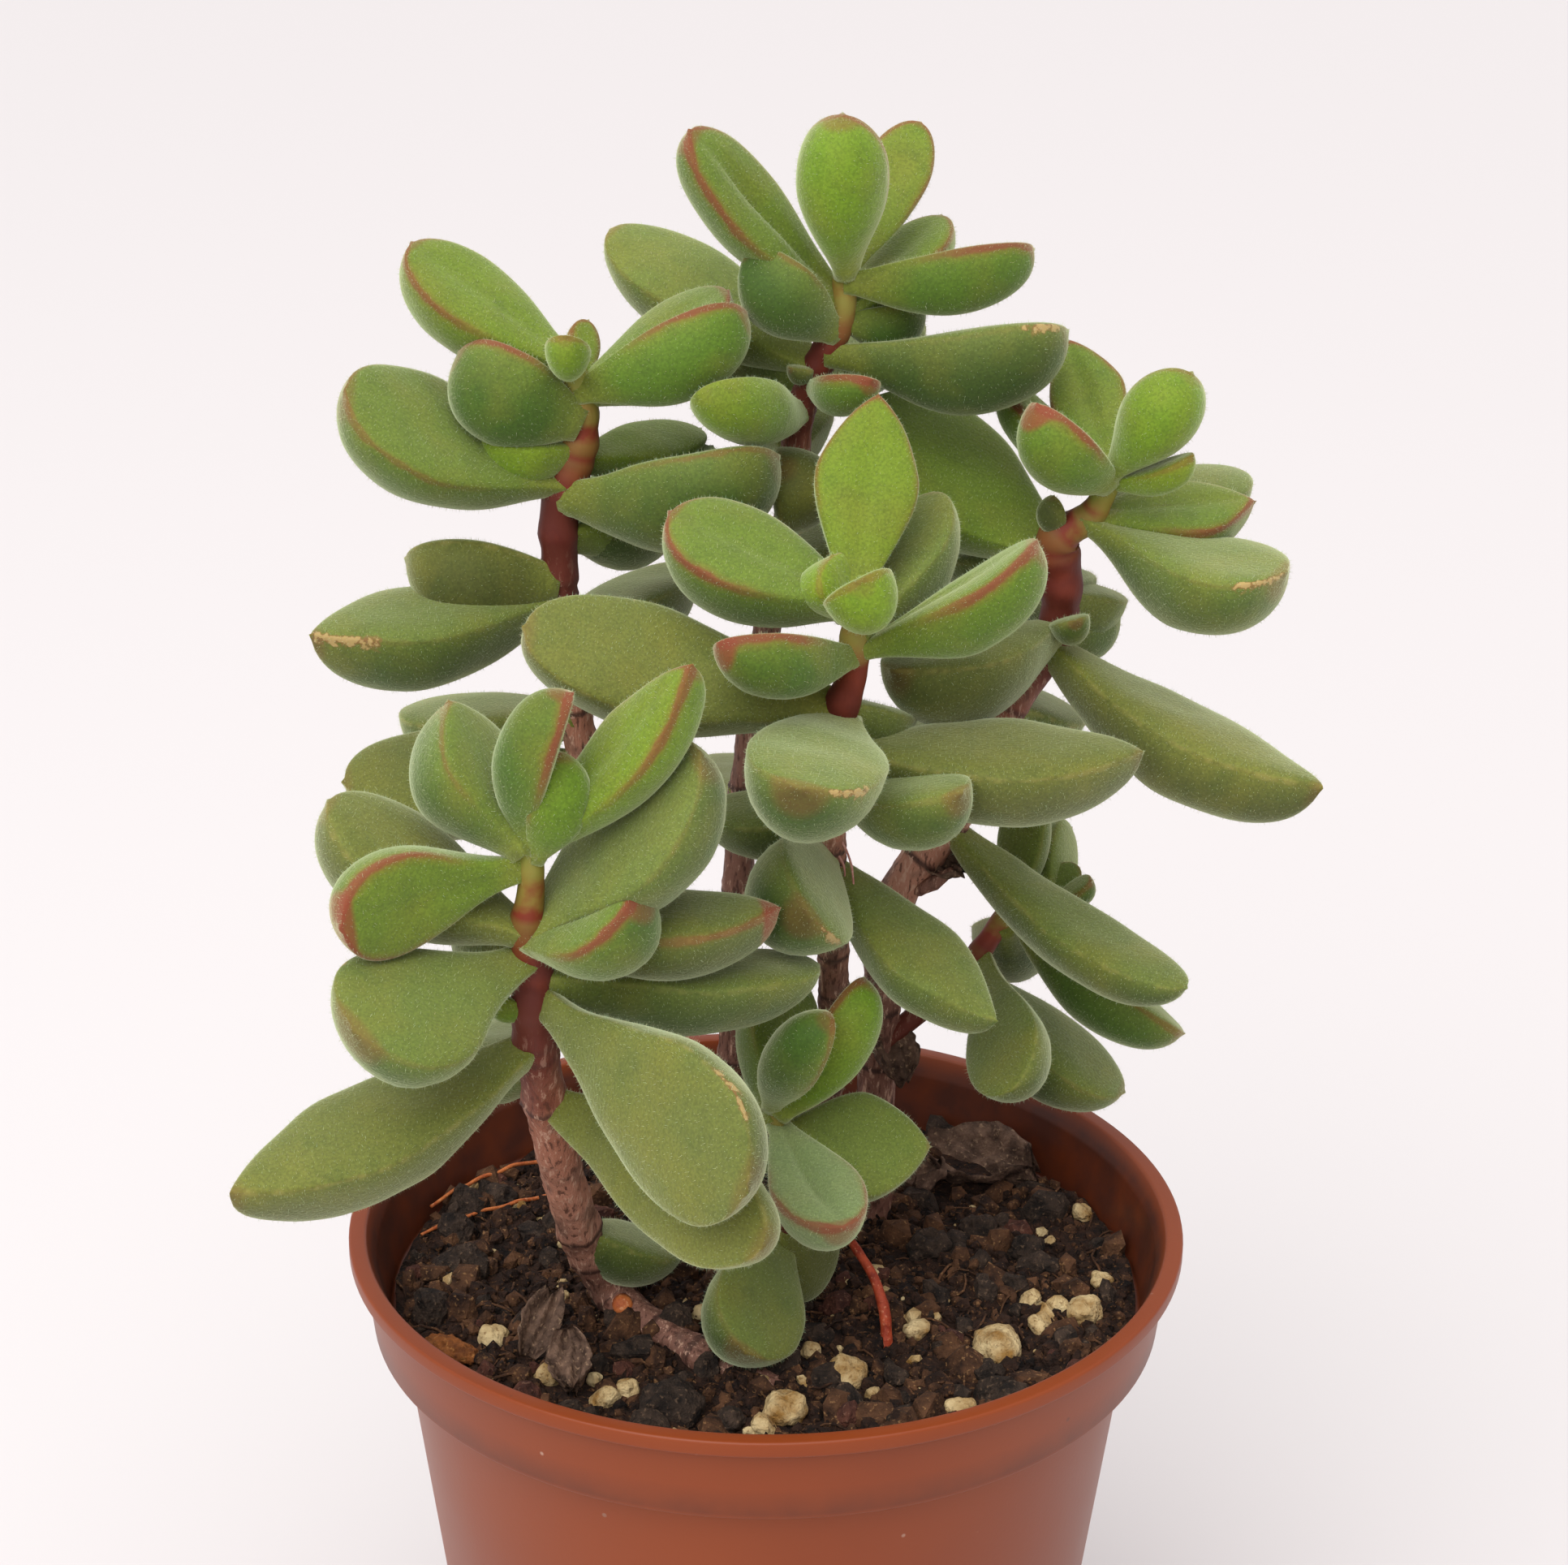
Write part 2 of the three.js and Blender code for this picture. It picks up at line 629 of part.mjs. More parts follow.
function stoneGeometry(x, y, radius, flatness, seed) {
  const random = randomFrom(seed);
  const stone = roughBall(radius > FINE_STONE ? 1 : 0);
  const position = stone.attributes.position;
  const stretch = 1 + LITTER_ROUGHNESS * (2 * random() - 1);
  const point = new THREE.Vector3();
  for (let index = 0; index < position.count; index += 1) {
    point.fromBufferAttribute(position, index);
    const reach = radius * (1 + LITTER_ROUGHNESS * (2 * random() - 1));
    point.multiplyScalar(reach);
    point.x *= stretch;
    point.z *= flatness;
    position.setXYZ(index, point.x, point.y, point.z);
  }
  stone.rotateZ(2 * Math.PI * random());
  stone.translate(x, y, soilHeight(x, y) + radius * flatness * STONE_LIFT);
  return stone;
}

// The hollow that a stone sits in: a six-sided bowl that the stone touches nowhere
function hollowGeometry(x, y, radius, flatness) {
  const wide = radius * HOLLOW_SLACK + GAP;
  const mouth = wide * (1 + HOLLOW_FLARE);
  const floor = wide * (1 - HOLLOW_FLARE);
  const bowl = new THREE.CylinderGeometry(mouth, floor, wide * flatness * 2, 6);
  bowl.rotateX(Math.PI / 2);
  bowl.translate(x, y, soilHeight(x, y) + radius * flatness * STONE_LIFT);
  return bowl;
}

// With extra space around it, the shape that a dry leaf presses into the soil
function dryLeafGeometry(row, extra = 0) {
  const [x, y, over, heading, rise, length, width, roll, bend] = row;
  const yaw = THREE.MathUtils.degToRad(heading);
  const base = new THREE.Vector3(x, y, soilHeight(x, y) + over + extra);
  base.x -= 2 * extra * Math.cos(yaw);
  base.y -= 2 * extra * Math.sin(yaw);
  const thickness = WITHERED_THICKNESS + 4 * extra;
  return leafGeometry(base, heading, rise, length + 4 * extra, width + 4 * extra, roll, bend, 'oval', thickness);
}

function barkGeometry(extra = 0) {
  const { x, y, heading, length, width, height } = BARK_CHIP;
  const random = randomFrom(77);
  const chip = roughBall();
  const position = chip.attributes.position;
  for (let index = 0; index < position.count; index += 1) {
    const rough = 1 + LITTER_ROUGHNESS * (2 * random() - 1);
    position.setXYZ(
      index,
      position.getX(index) * (rough * length / 2 + extra),
      position.getY(index) * (rough * width / 2 + extra),
      position.getZ(index) * (rough * height / 2 + extra),
    );
  }
  chip.rotateZ(THREE.MathUtils.degToRad(heading));
  chip.translate(x, y, soilHeight(x, y) + height * 0.2);
  return chip;
}

function soilGeometry() {
  const floor = FOOT_RECESS + WALL + GAP;
  const step = POT_HEIGHT - COLLAR_HEIGHT + COLLAR_STEP + GAP;
  const edge = SOIL_EDGE_RADIUS - SIDE_ALLOWANCE;
  const rings = [];
  const ringAt = (radius, heightAt) => {
    const ring = [];
    for (let side = 0; side < SOIL_SIDES; side += 1) {
      const angle = (2 * Math.PI * side) / SOIL_SIDES;
      const x = radius * Math.cos(angle);
      const y = radius * Math.sin(angle);
      ring.push(new THREE.Vector3(x, y, heightAt(x, y)));
    }
    return ring;
  };
  // The two bodies have different numbers of sides, so the soil stays a little further in
  const inset = GAP + SIDE_ALLOWANCE;
  rings.push(ringAt(BASE_RADIUS - WALL - inset, () => floor));
  rings.push(ringAt(BODY_TOP_RADIUS - WALL - inset, () => step));
  rings.push(ringAt(edge, () => step));
  for (let ring = SOIL_RINGS; ring > 0; ring -= 1) {
    rings.push(ringAt((edge * ring) / SOIL_RINGS, soilHeight));
  }
  return geometryFromRings(rings, new THREE.Vector3(0, 0, soilHeight(0, 0)));
}

function soilSolid() {
  let solid = solidFrom(soilGeometry());
  const press = (geometry) => {
    solid = solid.subtract(solidFrom(geometry));
  };
  SHOOTS.forEach((shoot) => press(stemGeometry(shoot.stem, STEM_SIDES, GAP)));
  ROOTS.forEach((root) => press(stemGeometry(root, THREAD_SIDES, GAP)));
  press(stemGeometry(RED_STALK, STEM_SIDES, GAP));
  [...PUMICE, ...LAVA].forEach(([x, y, radius, flatness]) => press(hollowGeometry(x, y, radius, flatness)));
  DRY_LEAVES.forEach((row) => press(dryLeafGeometry(row, GAP)));
  press(barkGeometry(GAP));
  return solid;
}

// Assembly
const plant = new THREE.Group();
plant.add(meshNamed('pot', geometryFrom(potSolid()), POT_COLOUR, 0.5));
plant.add(meshNamed('soil', geometryFrom(soilSolid()), SOIL_COLOUR, 0.95));
SHOOTS.forEach((shoot) => {
  plant.add(meshNamed(shoot.name, geometryFrom(shootSolid(shoot)), LEAF_COLOUR, 0.7));
});
PUMICE.forEach(([x, y, radius, flatness], index) => {
  const stone = stoneGeometry(x, y, radius, flatness, 11 + index);
  plant.add(meshNamed(`pumice_${index + 1}`, stone, PUMICE_COLOUR, 0.9));
});
LAVA.forEach(([x, y, radius, flatness], index) => {
  const stone = stoneGeometry(x, y, radius, flatness, 51 + index);
  plant.add(meshNamed(`lava_${index + 1}`, stone, LAVA_COLOUR, 0.9));
});
DRY_LEAVES.forEach((row, index) => {
  plant.add(meshNamed(`dry_leaf_${index + 1}`, dryLeafGeometry(row), DRY_COLOUR, 0.9));
});
plant.add(meshNamed('bark_chip', barkGeometry(), BARK_COLOUR, 0.9));
plant.add(meshNamed('red_stalk', stemGeometry(RED_STALK), ROOT_COLOUR, 0.7));
ROOTS.forEach((root, index) => {
  plant.add(meshNamed(`root_${index + 1}`, stemGeometry(root, THREAD_SIDES), ROOT_COLOUR, 0.8));
});

export default plant;
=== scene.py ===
import math
import random
from functools import partial

import bmesh
import bpy
import numpy as np
from mathutils import Matrix, Vector, noise


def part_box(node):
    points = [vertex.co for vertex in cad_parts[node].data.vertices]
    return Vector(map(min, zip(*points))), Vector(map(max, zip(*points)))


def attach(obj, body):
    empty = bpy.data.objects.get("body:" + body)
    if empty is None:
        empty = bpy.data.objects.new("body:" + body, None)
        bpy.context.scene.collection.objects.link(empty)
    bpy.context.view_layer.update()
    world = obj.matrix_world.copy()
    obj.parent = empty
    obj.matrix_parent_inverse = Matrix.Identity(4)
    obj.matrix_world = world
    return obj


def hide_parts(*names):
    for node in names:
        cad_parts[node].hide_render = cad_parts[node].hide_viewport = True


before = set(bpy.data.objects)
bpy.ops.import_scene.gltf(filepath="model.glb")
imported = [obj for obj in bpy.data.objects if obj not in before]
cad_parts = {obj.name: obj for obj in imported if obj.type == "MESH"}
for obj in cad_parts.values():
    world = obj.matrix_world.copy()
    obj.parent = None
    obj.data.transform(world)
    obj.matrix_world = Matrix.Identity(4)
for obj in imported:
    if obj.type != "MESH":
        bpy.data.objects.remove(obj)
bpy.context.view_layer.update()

MM = 0.001

# Without a seed of its own, the noise that moves points would differ from run to run
noise.seed_set(1)

# Pot and soil, in millimetres, as the frame has them
POT_HEIGHT = 75
LIP_RADIUS = 42.5
LIP_HEIGHT = 1.6
LIP_INNER_RADIUS = 40.8
COLLAR_TOP_RADIUS = 41.2
COLLAR_BOTTOM_RADIUS = 40.3
COLLAR_HEIGHT = 9.6
COLLAR_STEP = 1.1
WALL = 1.4
BODY_TOP_RADIUS = 37.6
BASE_RADIUS = 29.4
FOOT_RING = 2.2
FOOT_RECESS = 1.2
CENTRE_PAD = 6
DRAIN_RADIUS = 3
DRAIN_CIRCLE = 17
DRAIN_COUNT = 4
SOIL_LEVEL = 67.2
SOIL_RELIEF = 0.7
SOIL_EDGE_RADIUS = 38.2
SOIL_GAP = 0.3
SOIL_SIDE_GAP = 0.45
SOIL_EDGE_GAP = 0.15
SOIL_STEP_DROP = 0.2

# How finely the pot and the soil are drawn: a profile ends a little off the axis, and grit keeps
# this far from the soil's edge
GRIT_MARGIN = 0.8
NEAR_AXIS = 0.01
POT_FILLET = 0.3
POT_SIDES = 144
DRAIN_SIDES = 24
DRILL_HEIGHTS = (-4, 6)
SOIL_SIDES = 200
SOIL_RINGS = 72

# Leaves, as the frame has them
LEAF_THICKNESS = 0.72
LEAF_THICKEST = 8.4
# Each form: the half width at the foot as a share of the widest, the place of the widest, how the
# sides flare towards it, how they round off to a tip that is sharp or blunt, the thickness at the
# foot as a share of the thickest, and how late the leaf fills out
LEAF_FORMS = {
    "oval": (0.28, 0.62, 1.5, 2.1, 0.5, 0.34, 1.2),
    "spoon": (0.24, 0.7, 2.6, 2.2, 0.5, 0.26, 1.9),
    "pointed": (0.28, 0.58, 1.4, 1.6, 0.85, 0.34, 1.2),
    "round": (0.34, 0.56, 1.2, 2.2, 0.48, 0.4, 1),
}
LEAF_ROOT = 0.4
# How high the upper face is domed and how deep the lower one is, as shares of the thickness
LEAF_DOME = 0.13
LEAF_BELLY = 0.87

# How finely leaves, stems and roots are drawn
LEAF_STATIONS = 36
LEAF_SIDES = 28
DRY_LEAF_STATIONS = 36
DRY_LEAF_POINTS = 15
DRY_LEAF_THICKNESS = 0.22
STEM_SIDES = 18
STEM_STEP = 0.5
SCAR_SPACING = (5, 8.5)
LOWEST_SCAR = 6
STUB_SIDES = 12
THREAD_SIDES = 10
THREAD_STEP = 0.4
SCAR_SIDES = 14
CURVE_STEPS = 400
HEIGHT_STEPS = 201

# Hairs are a third of a millimetre long. They are fewer and thicker than real ones, so that they show
# and all pieces together stay under a million triangles
HAIR_LENGTH = 0.34
HAIR_WIDTH = 0.03
HAIRS_PER_MM2 = 3.2
HAIR_TILT = 0.3

# What a leaf looks like: age 0 is new and 1 is old, blush is the red of its margin, tip is how far the
# point is tinged brown, groove is the fold along its upper face, dish is how far that face is hollow
# and bloom is how pale its wax makes it
LOOKS = {
    "new": (0.0, 0.35, 0.2, 0.03, 0.0, 0.0),
    "lime": (0.12, 0.0, 0.1, 0.0, 0.0, 0.0),
    "fresh": (0.15, 0.8, 0.4, 0.04, 0.02, 0.0),
    "rosy": (0.32, 1.0, 0.5, 0.05, 0.03, 0.0),
    "crimson": (0.33, 1.25, 0.8, 0.03, 0.03, 0.0),
    "green": (0.45, 0.4, 0.3, 0.0, 0.02, 0.0),
    "soft": (0.24, 0.0, 0.1, 0.0, 0.0, 0.0),
    "plain": (0.6, 0.08, 0.3, 0.0, 0.0, 0.0),
    "dark": (0.72, 0.0, 0.0, 0.0, 0.0, 0.0),
    "olive": (1.0, 0.05, 0.2, 0.0, -0.02, 0.0),
    "yellowed": (0.85, 0.6, 1.2, 0.0, 0.0, 0.0),
    "folded": (0.38, 0.9, 0.5, 0.16, 0.04, 0.0),
    "frosted": (0.38, 0.9, 0.5, 0.2, 0.06, 0.5),
}

# A stem is a list of (x, y, z, radius). A leaf is
# (height on the stem, heading, rise, length, width, roll, bend, look, form where it isn't oval), in
# millimetres and degrees: heading 0 is +X and 90 is +Y, rise is above the level, and roll turns the
# leaf about its length. A scar runs along a margin:
# (leaf's place in the list, from this share of its length, to this share, side, width).
# A stem turns to wood with its length below the tip; older says how much sooner than usual.
SHOOTS = [
    {"name": "crown", "node": "crown_shoot", "older": 1.6, "stem": [
        (-4, 12.5, 53, 1.8), (-4, 12.5, 68, 1.8), (-3.5, 13, 88, 1.7), (-2.8, 13, 114, 1.5),
        (-0.8, 13, 131, 1.4), (1.6, 12, 145, 1.4), (3, 11, 157.5, 1.35), (4.4, 10, 161, 1.35),
        (6.2, 9, 165, 1.25), (6.9, 8, 170.5, 1),
    ], "leaves": [
        (170.5, 261, 76, 15.5, 8.8, -8, 0, "fresh"), (170.5, 63, 36, 19.8, 6.6, 29, 8, "fresh"),
        (167.5, 196, 48, 22.2, 8.4, -48, 3, "folded"), (170.1, 9, 7, 18.1, 7.7, -31, 11, "rosy"),
        (167, 55, 20, 18.2, 7.6, -3, 9, "fresh"), (164.8, 199, 45, 12.1, 8.5, 23, 7, "green", "pointed"),
        (166, 40, -5, 10, 6, -25, 0, "green"), (161, 152, 25, 25.4, 10.4, -18, -6, "plain"),
        (159.6, 59, 6, 20.5, 7.3, 4, 8, "plain"), (162.8, 0, 5, 22.8, 11, -20, 12, "plain", "spoon"),
        (161, 120, -8, 19, 9, 30, 10, "plain"), (156.5, 235, 16, 17.3, 6.9, 42, 8, "lime"),
        (159.2, 304, 13, 10.5, 5.2, -20, 10, "rosy"), (152, 95, 12, 20, 10, 0, 10, "plain"),
        (140, 60, 10, 22, 11, 0, 10, "dark"), (144.8, 259, 50, 9.2, 8.6, 98, 7, "olive", "round"),
        (129, 150, -5, 20, 10, 0, 10, "dark"), (117, 95, -12, 22, 11, 0, 10, "olive"),
        (160.6, 215, 10, 3.2, 2.6, 0, 0, "olive", "round"),
    ], "scars": [(7, 0.96, 1, -1, 0.6), (9, 0.82, 0.95, -1, 0.45)]},
    {"name": "left", "node": "left_shoot", "older": 1.0, "stem": [
        (-9.5, 13.5, 53, 1.7), (-9.5, 13.5, 68, 1.7), (-10, 14, 86, 1.6), (-12.5, 14, 95, 1.6),
        (-17.2, 12, 114, 1.6), (-20, 10, 128, 1.8), (-20.7, 7, 138.5, 1.8), (-20.4, 6, 142.5, 1.75),
        (-20.2, 5, 148.5, 1.8), (-18.3, 4.5, 154.5, 1.75), (-18, 4, 158.5, 1.5), (-18.6, 3, 162.5, 1),
    ], "leaves": [
        (162.5, 162, 33, 19, 10.1, -16, 8, "fresh"), (160.2, 4, 24, 17.3, 8.7, -45, 9, "rosy"),
        (160.1, 14, 31, 16.8, 10.5, 10, 3, "rosy"), (157.5, 180, 29, 12.8, 10.7, 42, 8, "rosy", "round"),
        (162.2, 268, 36, 7.1, 4.3, -3, 10, "new"), (160.5, 83, 36, 7.9, 3.5, 41, 0, "fresh"),
        (152.9, 55, -3, 20.1, 6.5, 19, 1, "soft"), (154.7, 192, 5, 9.3, 6.8, -3, 4, "lime", "round"),
        (151.4, 198, 25, 22.9, 14, -32, 14, "green"), (150.1, 354, 11, 21, 13.1, -28, 14, "green"),
        (145.7, 44, 14, 20.6, 11.7, 8, 4, "soft"), (141.1, 181, 6, 14.8, 10.3, 37, -8, "olive", "round"),
        (151.8, 59, -31, 18.1, 10.1, 10, 0, "dark"),
        (139.2, 207, -2, 25.1, 12.1, -7, 1, "plain", "pointed"),
        (135.5, 59, 2, 21.8, 9.9, -8, 10, "dark"), (126, 150, -10, 21, 11, 0, 10, "dark"),
        (119.7, 192, -1, 24.4, 12.7, -25, 0, "olive"),
    ], "scars": [(13, 0.8, 0.99, 1, 0.8)]},
    {"name": "centre", "node": "centre_shoot", "older": 1.3, "stem": [
        (5, 6, 53, 1.8), (5, 6, 68, 1.8), (5.8, 5, 83, 1.6), (6.6, 2, 99, 1.5), (5.9, -3, 116, 1.5),
        (6, -7, 126, 1.4), (6.6, -10, 133, 1.5), (7.6, -11, 137, 1.4), (7.8, -12, 141.5, 1.2),
        (7.6, -12, 145, 0.8),
    ], "leaves": [
        (145, 78, 56, 19.3, 9.7, 16, 3, "fresh", "pointed"), (144.5, 164, 21, 18.8, 11.4, -19, 6, "rosy"),
        (143.2, 160, 67, 5.7, 7.8, -11, 0, "new", "round"),
        (144.7, 273, 29, 7.6, 6.9, 26, 5, "new", "round"), (141.1, 64, 28, 19.5, 9.3, -17, 7, "plain"),
        (140, 357, 33, 19.2, 9.3, -3, 16, "rosy", "spoon"), (139.6, 211, 12, 14.7, 7.4, 32, 6, "crimson"),
        (132.5, 260, 2, 21.3, 12.9, -11, 6, "plain", "round"),
        (129.2, 0, -1, 28.8, 13, 6, 6, "olive", "pointed"), (133.5, 192, 18, 30.8, 12.3, -41, 6, "olive"),
        (134, 67, -23, 14, 8, 5, 0, "plain"), (124.8, 315, 12, 16.8, 9.3, 6, 4, "plain"),
        (116.8, 264, 2, 17.7, 11.5, -54, 7, "plain"), (120, 144, -7, 15, 8, -10, 0, "dark"),
        (115.4, 320, -28, 23.3, 9.4, 4, 7, "dark", "pointed"),
    ], "scars": [(5, 0.94, 1, 1, 0.8), (7, 0.82, 0.95, 1, 0.5), (12, 0.88, 0.97, 1, 0.45)]},
    {"name": "right", "node": "right_shoot", "older": 1.0, "stem": [
        (11.2, 13.5, 53, 2.2), (11.2, 13.5, 68, 2.2), (11.4, 13, 79, 2), (11.7, 12, 92, 1.9),
        (12.5, 11, 104, 1.9), (14.3, 11, 108, 1.9), (18.3, 11, 114, 1.9), (23.6, 10, 126, 1.7),
        (28, 9, 134.5, 1.7), (28.3, 8, 141, 1.9), (27.8, 7, 145, 1.9), (30.7, 6, 147.5, 1.3),
        (32.4, 4, 152.5, 0.9),
    ], "leaves": [
        (152.5, 104, 33, 17.2, 7.5, -26, 9, "folded", "pointed"),
        (152.5, 338, 55, 12.3, 7.5, -65, -2, "new"),
        (151.9, 208, 43, 11.6, 8.1, 4, 9, "crimson", "round"), (150.9, 131, 29, 15.9, 6.4, 17, 2, "rosy"),
        (151.2, 330, 24, 9.2, 4.1, 7, 9, "new"), (147.5, 10, 3, 16.4, 8.9, 20, -1, "rosy", "pointed"),
        (147.7, 35, 4, 19.5, 9.8, 6, 4, "plain"), (147.4, 334, -8, 19.8, 13.6, 2, 25, "plain", "spoon"),
        (145.1, 230, 76, 4.4, 3.3, -22, 0, "olive"), (143.4, 153, 31, 24.2, 15.5, -21, 0, "soft"),
        (143, 127, -8, 18, 9, -15, 0, "plain"), (140, 92, -12, 20, 10, 0, 10, "plain"),
        (139.1, 68, -15, 12.6, 9.1, 9, 0, "plain"), (136.1, 220, -1, 22, 11.5, 5, 5, "olive"),
        (135.9, 279, 18, 6.7, 3.9, 14, 0, "plain"), (135, 63, -8, 12, 7, -15, 0, "plain"),
        (133.8, 326, -17, 30.8, 11.7, -5, 15, "olive", "pointed"), (127, 60, -17, 15, 8, 20, 0, "dark"),
        (122, 110, -8, 20, 10, 0, 10, "dark"), (114, 322, -20, 30.3, 8.4, -1, 21, "dark"),
    ], "scars": [(7, 0.86, 0.98, -1, 0.5), (16, 0.97, 1, 1, 0.5)]},
    {"name": "side_branch", "node": "right_shoot", "older": 1.0, "stem": [
        (11.6, 12, 88, 1.1), (20.5, 12, 97, 1.1), (22.5, 12, 100, 1.1), (24.5, 12, 103, 1.1),
        (27.5, 12.5, 104, 0.9), (30, 13, 105, 0.7),
    ], "leaves": [
        (98.9, 276, -17, 20.5, 9, 45, 6, "dark", "spoon"), (97.2, 347, -36, 20.9, 10.5, 6, 7, "plain"),
        (103.6, 337, -30, 20.8, 8.6, -20, 5, "green"), (103, 66, 67, 13.3, 5.8, -20, 4, "plain"),
        (104.6, 74, 19, 11.6, 6.4, 72, 0, "plain"), (104.7, 332, 35, 5, 3.5, 20, 0, "green"),
        (104.7, 60, 30, 5, 3.5, 0, 0, "green"), (103, 80, -30, 18, 9, 0, 5, "dark"),
    ], "scars": []},
    {"name": "front", "node": "front_shoot", "older": 1.05, "stem": [
        (6.5, -21.5, 61, 1.5), (2.6, -20.7, 65.6, 1.6), (-1.7, -18.6, 66.6, 1.7),
        (-7.4, -14.2, 67.2, 1.7), (-11.6, -10.4, 67.8, 1.7), (-15.5, -6.8, 69.5, 2),
        (-17.9, -9, 76, 2.05), (-19.2, -13.5, 84, 2.1), (-20.1, -18, 93, 2.1), (-21, -22, 102, 2),
        (-21.4, -24, 108.5, 1.8), (-21, -25, 113, 1.6), (-21.4, -26, 118, 1.45), (-20.9, -27, 122.5, 1.2),
        (-20.7, -28, 126.5, 0.8),
    ], "leaves": [
        (126.5, 345, 74, 15.3, 7.6, -165, 18, "rosy"), (125.6, 355, 76, 10.1, 6.4, -24, 11, "fresh"),
        (126.5, 2, 50, 22, 8.4, 27, 4, "fresh", "pointed"),
        (126.5, 143, 51, 14.9, 11.8, 15, 0, "green", "pointed"),
        (124.4, 213, -5, 18.5, 9.9, -94, 19, "crimson", "spoon"),
        (117, 332, 30, 13, 10.6, 25, 13, "rosy", "round"), (117.9, -2, 48, 23, 14.8, 24, 8, "plain"),
        (117.9, 177, 34, 21, 11.8, -12, 7, "olive"),
        (118.6, 12, -1, 23, 9.9, 5, 4, "yellowed", "pointed"), (115.5, 114, -10, 15, 8, 40, 0, "plain"),
        (115.1, 231, 1, 21.5, 13.8, -28, 6, "plain", "spoon"), (113.2, 20, -7, 27.6, 9.6, 2, 7, "dark"),
        (110.4, 311, -14, 31.1, 14.4, 77, -2, "olive", "spoon"),
        (105.6, 218, -10, 31.9, 11.4, -12, 8, "olive", "pointed"), (104, 120, -15, 20, 10, 0, 10, "dark"),
        (97.8, 312, -5, 30.5, 10.7, 61, 13, "olive"), (78.8, 36, -28, 13.1, 7.8, 6, 3, "dark"),
        (108.8, 190, 30, 4.2, 3.4, 20, 0, "lime", "round"),
    ], "scars": [(12, 0.74, 0.9, 1, 0.32), (10, 0.72, 0.82, -1, 0.4)]},
    {"name": "sprout", "node": "sprout", "older": 1.0, "stem": [
        (1.3, 1, 53, 1), (1.4, -1, 66, 1), (1.6, -5, 72, 1), (1.8, -9.5, 80, 1), (1.5, -12, 88, 0.9),
        (1, -13, 94, 0.7),
    ], "leaves": [
        (93.7, 308, 55, 14.9, 6.5, -111, 17, "green"), (93.3, 15, 57, 15.5, 7, -50, 12, "fresh"),
        (92, 85, 36, 17, 9, 45, 0, "green"), (89.8, 12, -9, 15.3, 11.2, 38, 0, "plain", "pointed"),
        (91.6, 290, -7, 17.7, 8.8, 4, 6, "frosted"), (79.2, 46, -57, 11.8, 9, 84, 0, "olive"),
        (76.6, 257, -14, 16.3, 10.5, -42, -3, "plain"), (88, 150, 5, 13, 8, 0, 10, "plain"),
    ], "scars": [(5, 0.78, 0.96, 1, 0.8)]},
]

# Withered leaves on the right trunk: (height on the stem, heading, rise, length, width, roll, bend)
WITHERED = [
    (110, 330, -10, 5, 3.5, 30, 40),
    (92, 300, -50, 8, 5, 0, 60),
]

# Dry leaves on the soil: (x, y, height over the soil, heading, rise, length, width, roll, bend)
DRY_LEAVES = [
    (16.5, 27, 0.9, -28, 4, 15, 9, 12, 50),
    (15.5, 16.8, 0.6, 60, 6, 7, 5, -15, 40),
    (-23.2, -16.8, 0.6, 70, 35, 7, 4, 20, -50),
    (-18.3, -24, 0.7, 100, 30, 7, 4.5, -10, 40),
]

# Lines of (x, y, z, radius) for the thin pieces
RED_STALK = [
    (12.2, -13.6, 60, 0.6), (12.1, -13.4, 66, 0.6), (12, -12, 70, 0.6), (10.8, -9.8, 73, 0.5),
    (8.6, -7, 75.5, 0.45),
]

ROOTS = [
    [(-36, 12, 68.6, 0.4), (-31.5, 18, 68.8, 0.45), (-25, 22.5, 68.5, 0.45), (-20, 24, 67.5, 0.5)],
    [(-36.5, 7, 68, 0.35), (-31.5, 11, 68.3, 0.4), (-24.5, 15.5, 68.1, 0.45), (-20.5, 18.5, 67.3, 0.45)],
]

AERIAL_ROOTS = [
    [(-2.2, 12.6, 118.5, 0.14), (-1.2, 11.5, 116.5, 0.12), (-0.9, 11, 113.5, 0.1), (-0.3, 11, 111, 0.07)],
    [(-2.4, 12, 117, 0.14), (-1.9, 10.8, 115, 0.12), (-1.9, 10.5, 112.5, 0.07)],
    [(6, -4.2, 119, 0.14), (7.6, -5, 116.8, 0.12), (8.1, -5.4, 114, 0.1), (8, -5.4, 111, 0.07)],
    [(6, -4, 118, 0.14), (7, -4.6, 116, 0.12), (7.3, -5, 112.5, 0.07)],
]

# A dead stub on the right shoot, broken off short, and what a fallen bud left on the front shoot
STUB = [
    (13.8, 10.8, 106.4, 0.9), (15.6, 10, 107, 0.85), (17.4, 9.4, 108.2, 0.7), (18.6, 9, 109.4, 0.35),
]
BUD_SCAR = [
    (-14.4, -8.6, 69.2, 1.1), (-14.3, -9.4, 69.4, 1.05), (-14.2, -9.9, 69.6, 0.95),
    (-14.2, -10.1, 69.7, 0.6),
]

PUMICE_NODES = [f"pumice_{number}" for number in range(1, 15)]
LAVA_NODES = [f"lava_{number}" for number in range(1, 9)]
LITTER_NODES = ["bark_chip", *(f"dry_leaf_{number}" for number in range(1, 5))]


# Colours and nodes
RANGE = "ShaderNodeMapRange"
MATH = "ShaderNodeMath"
VECTOR_MATH = "ShaderNodeVectorMath"
MIX = "ShaderNodeMix"
NOISE = "ShaderNodeTexNoise"
RAMP = "ShaderNodeValToRGB"
BUMP = "ShaderNodeBump"


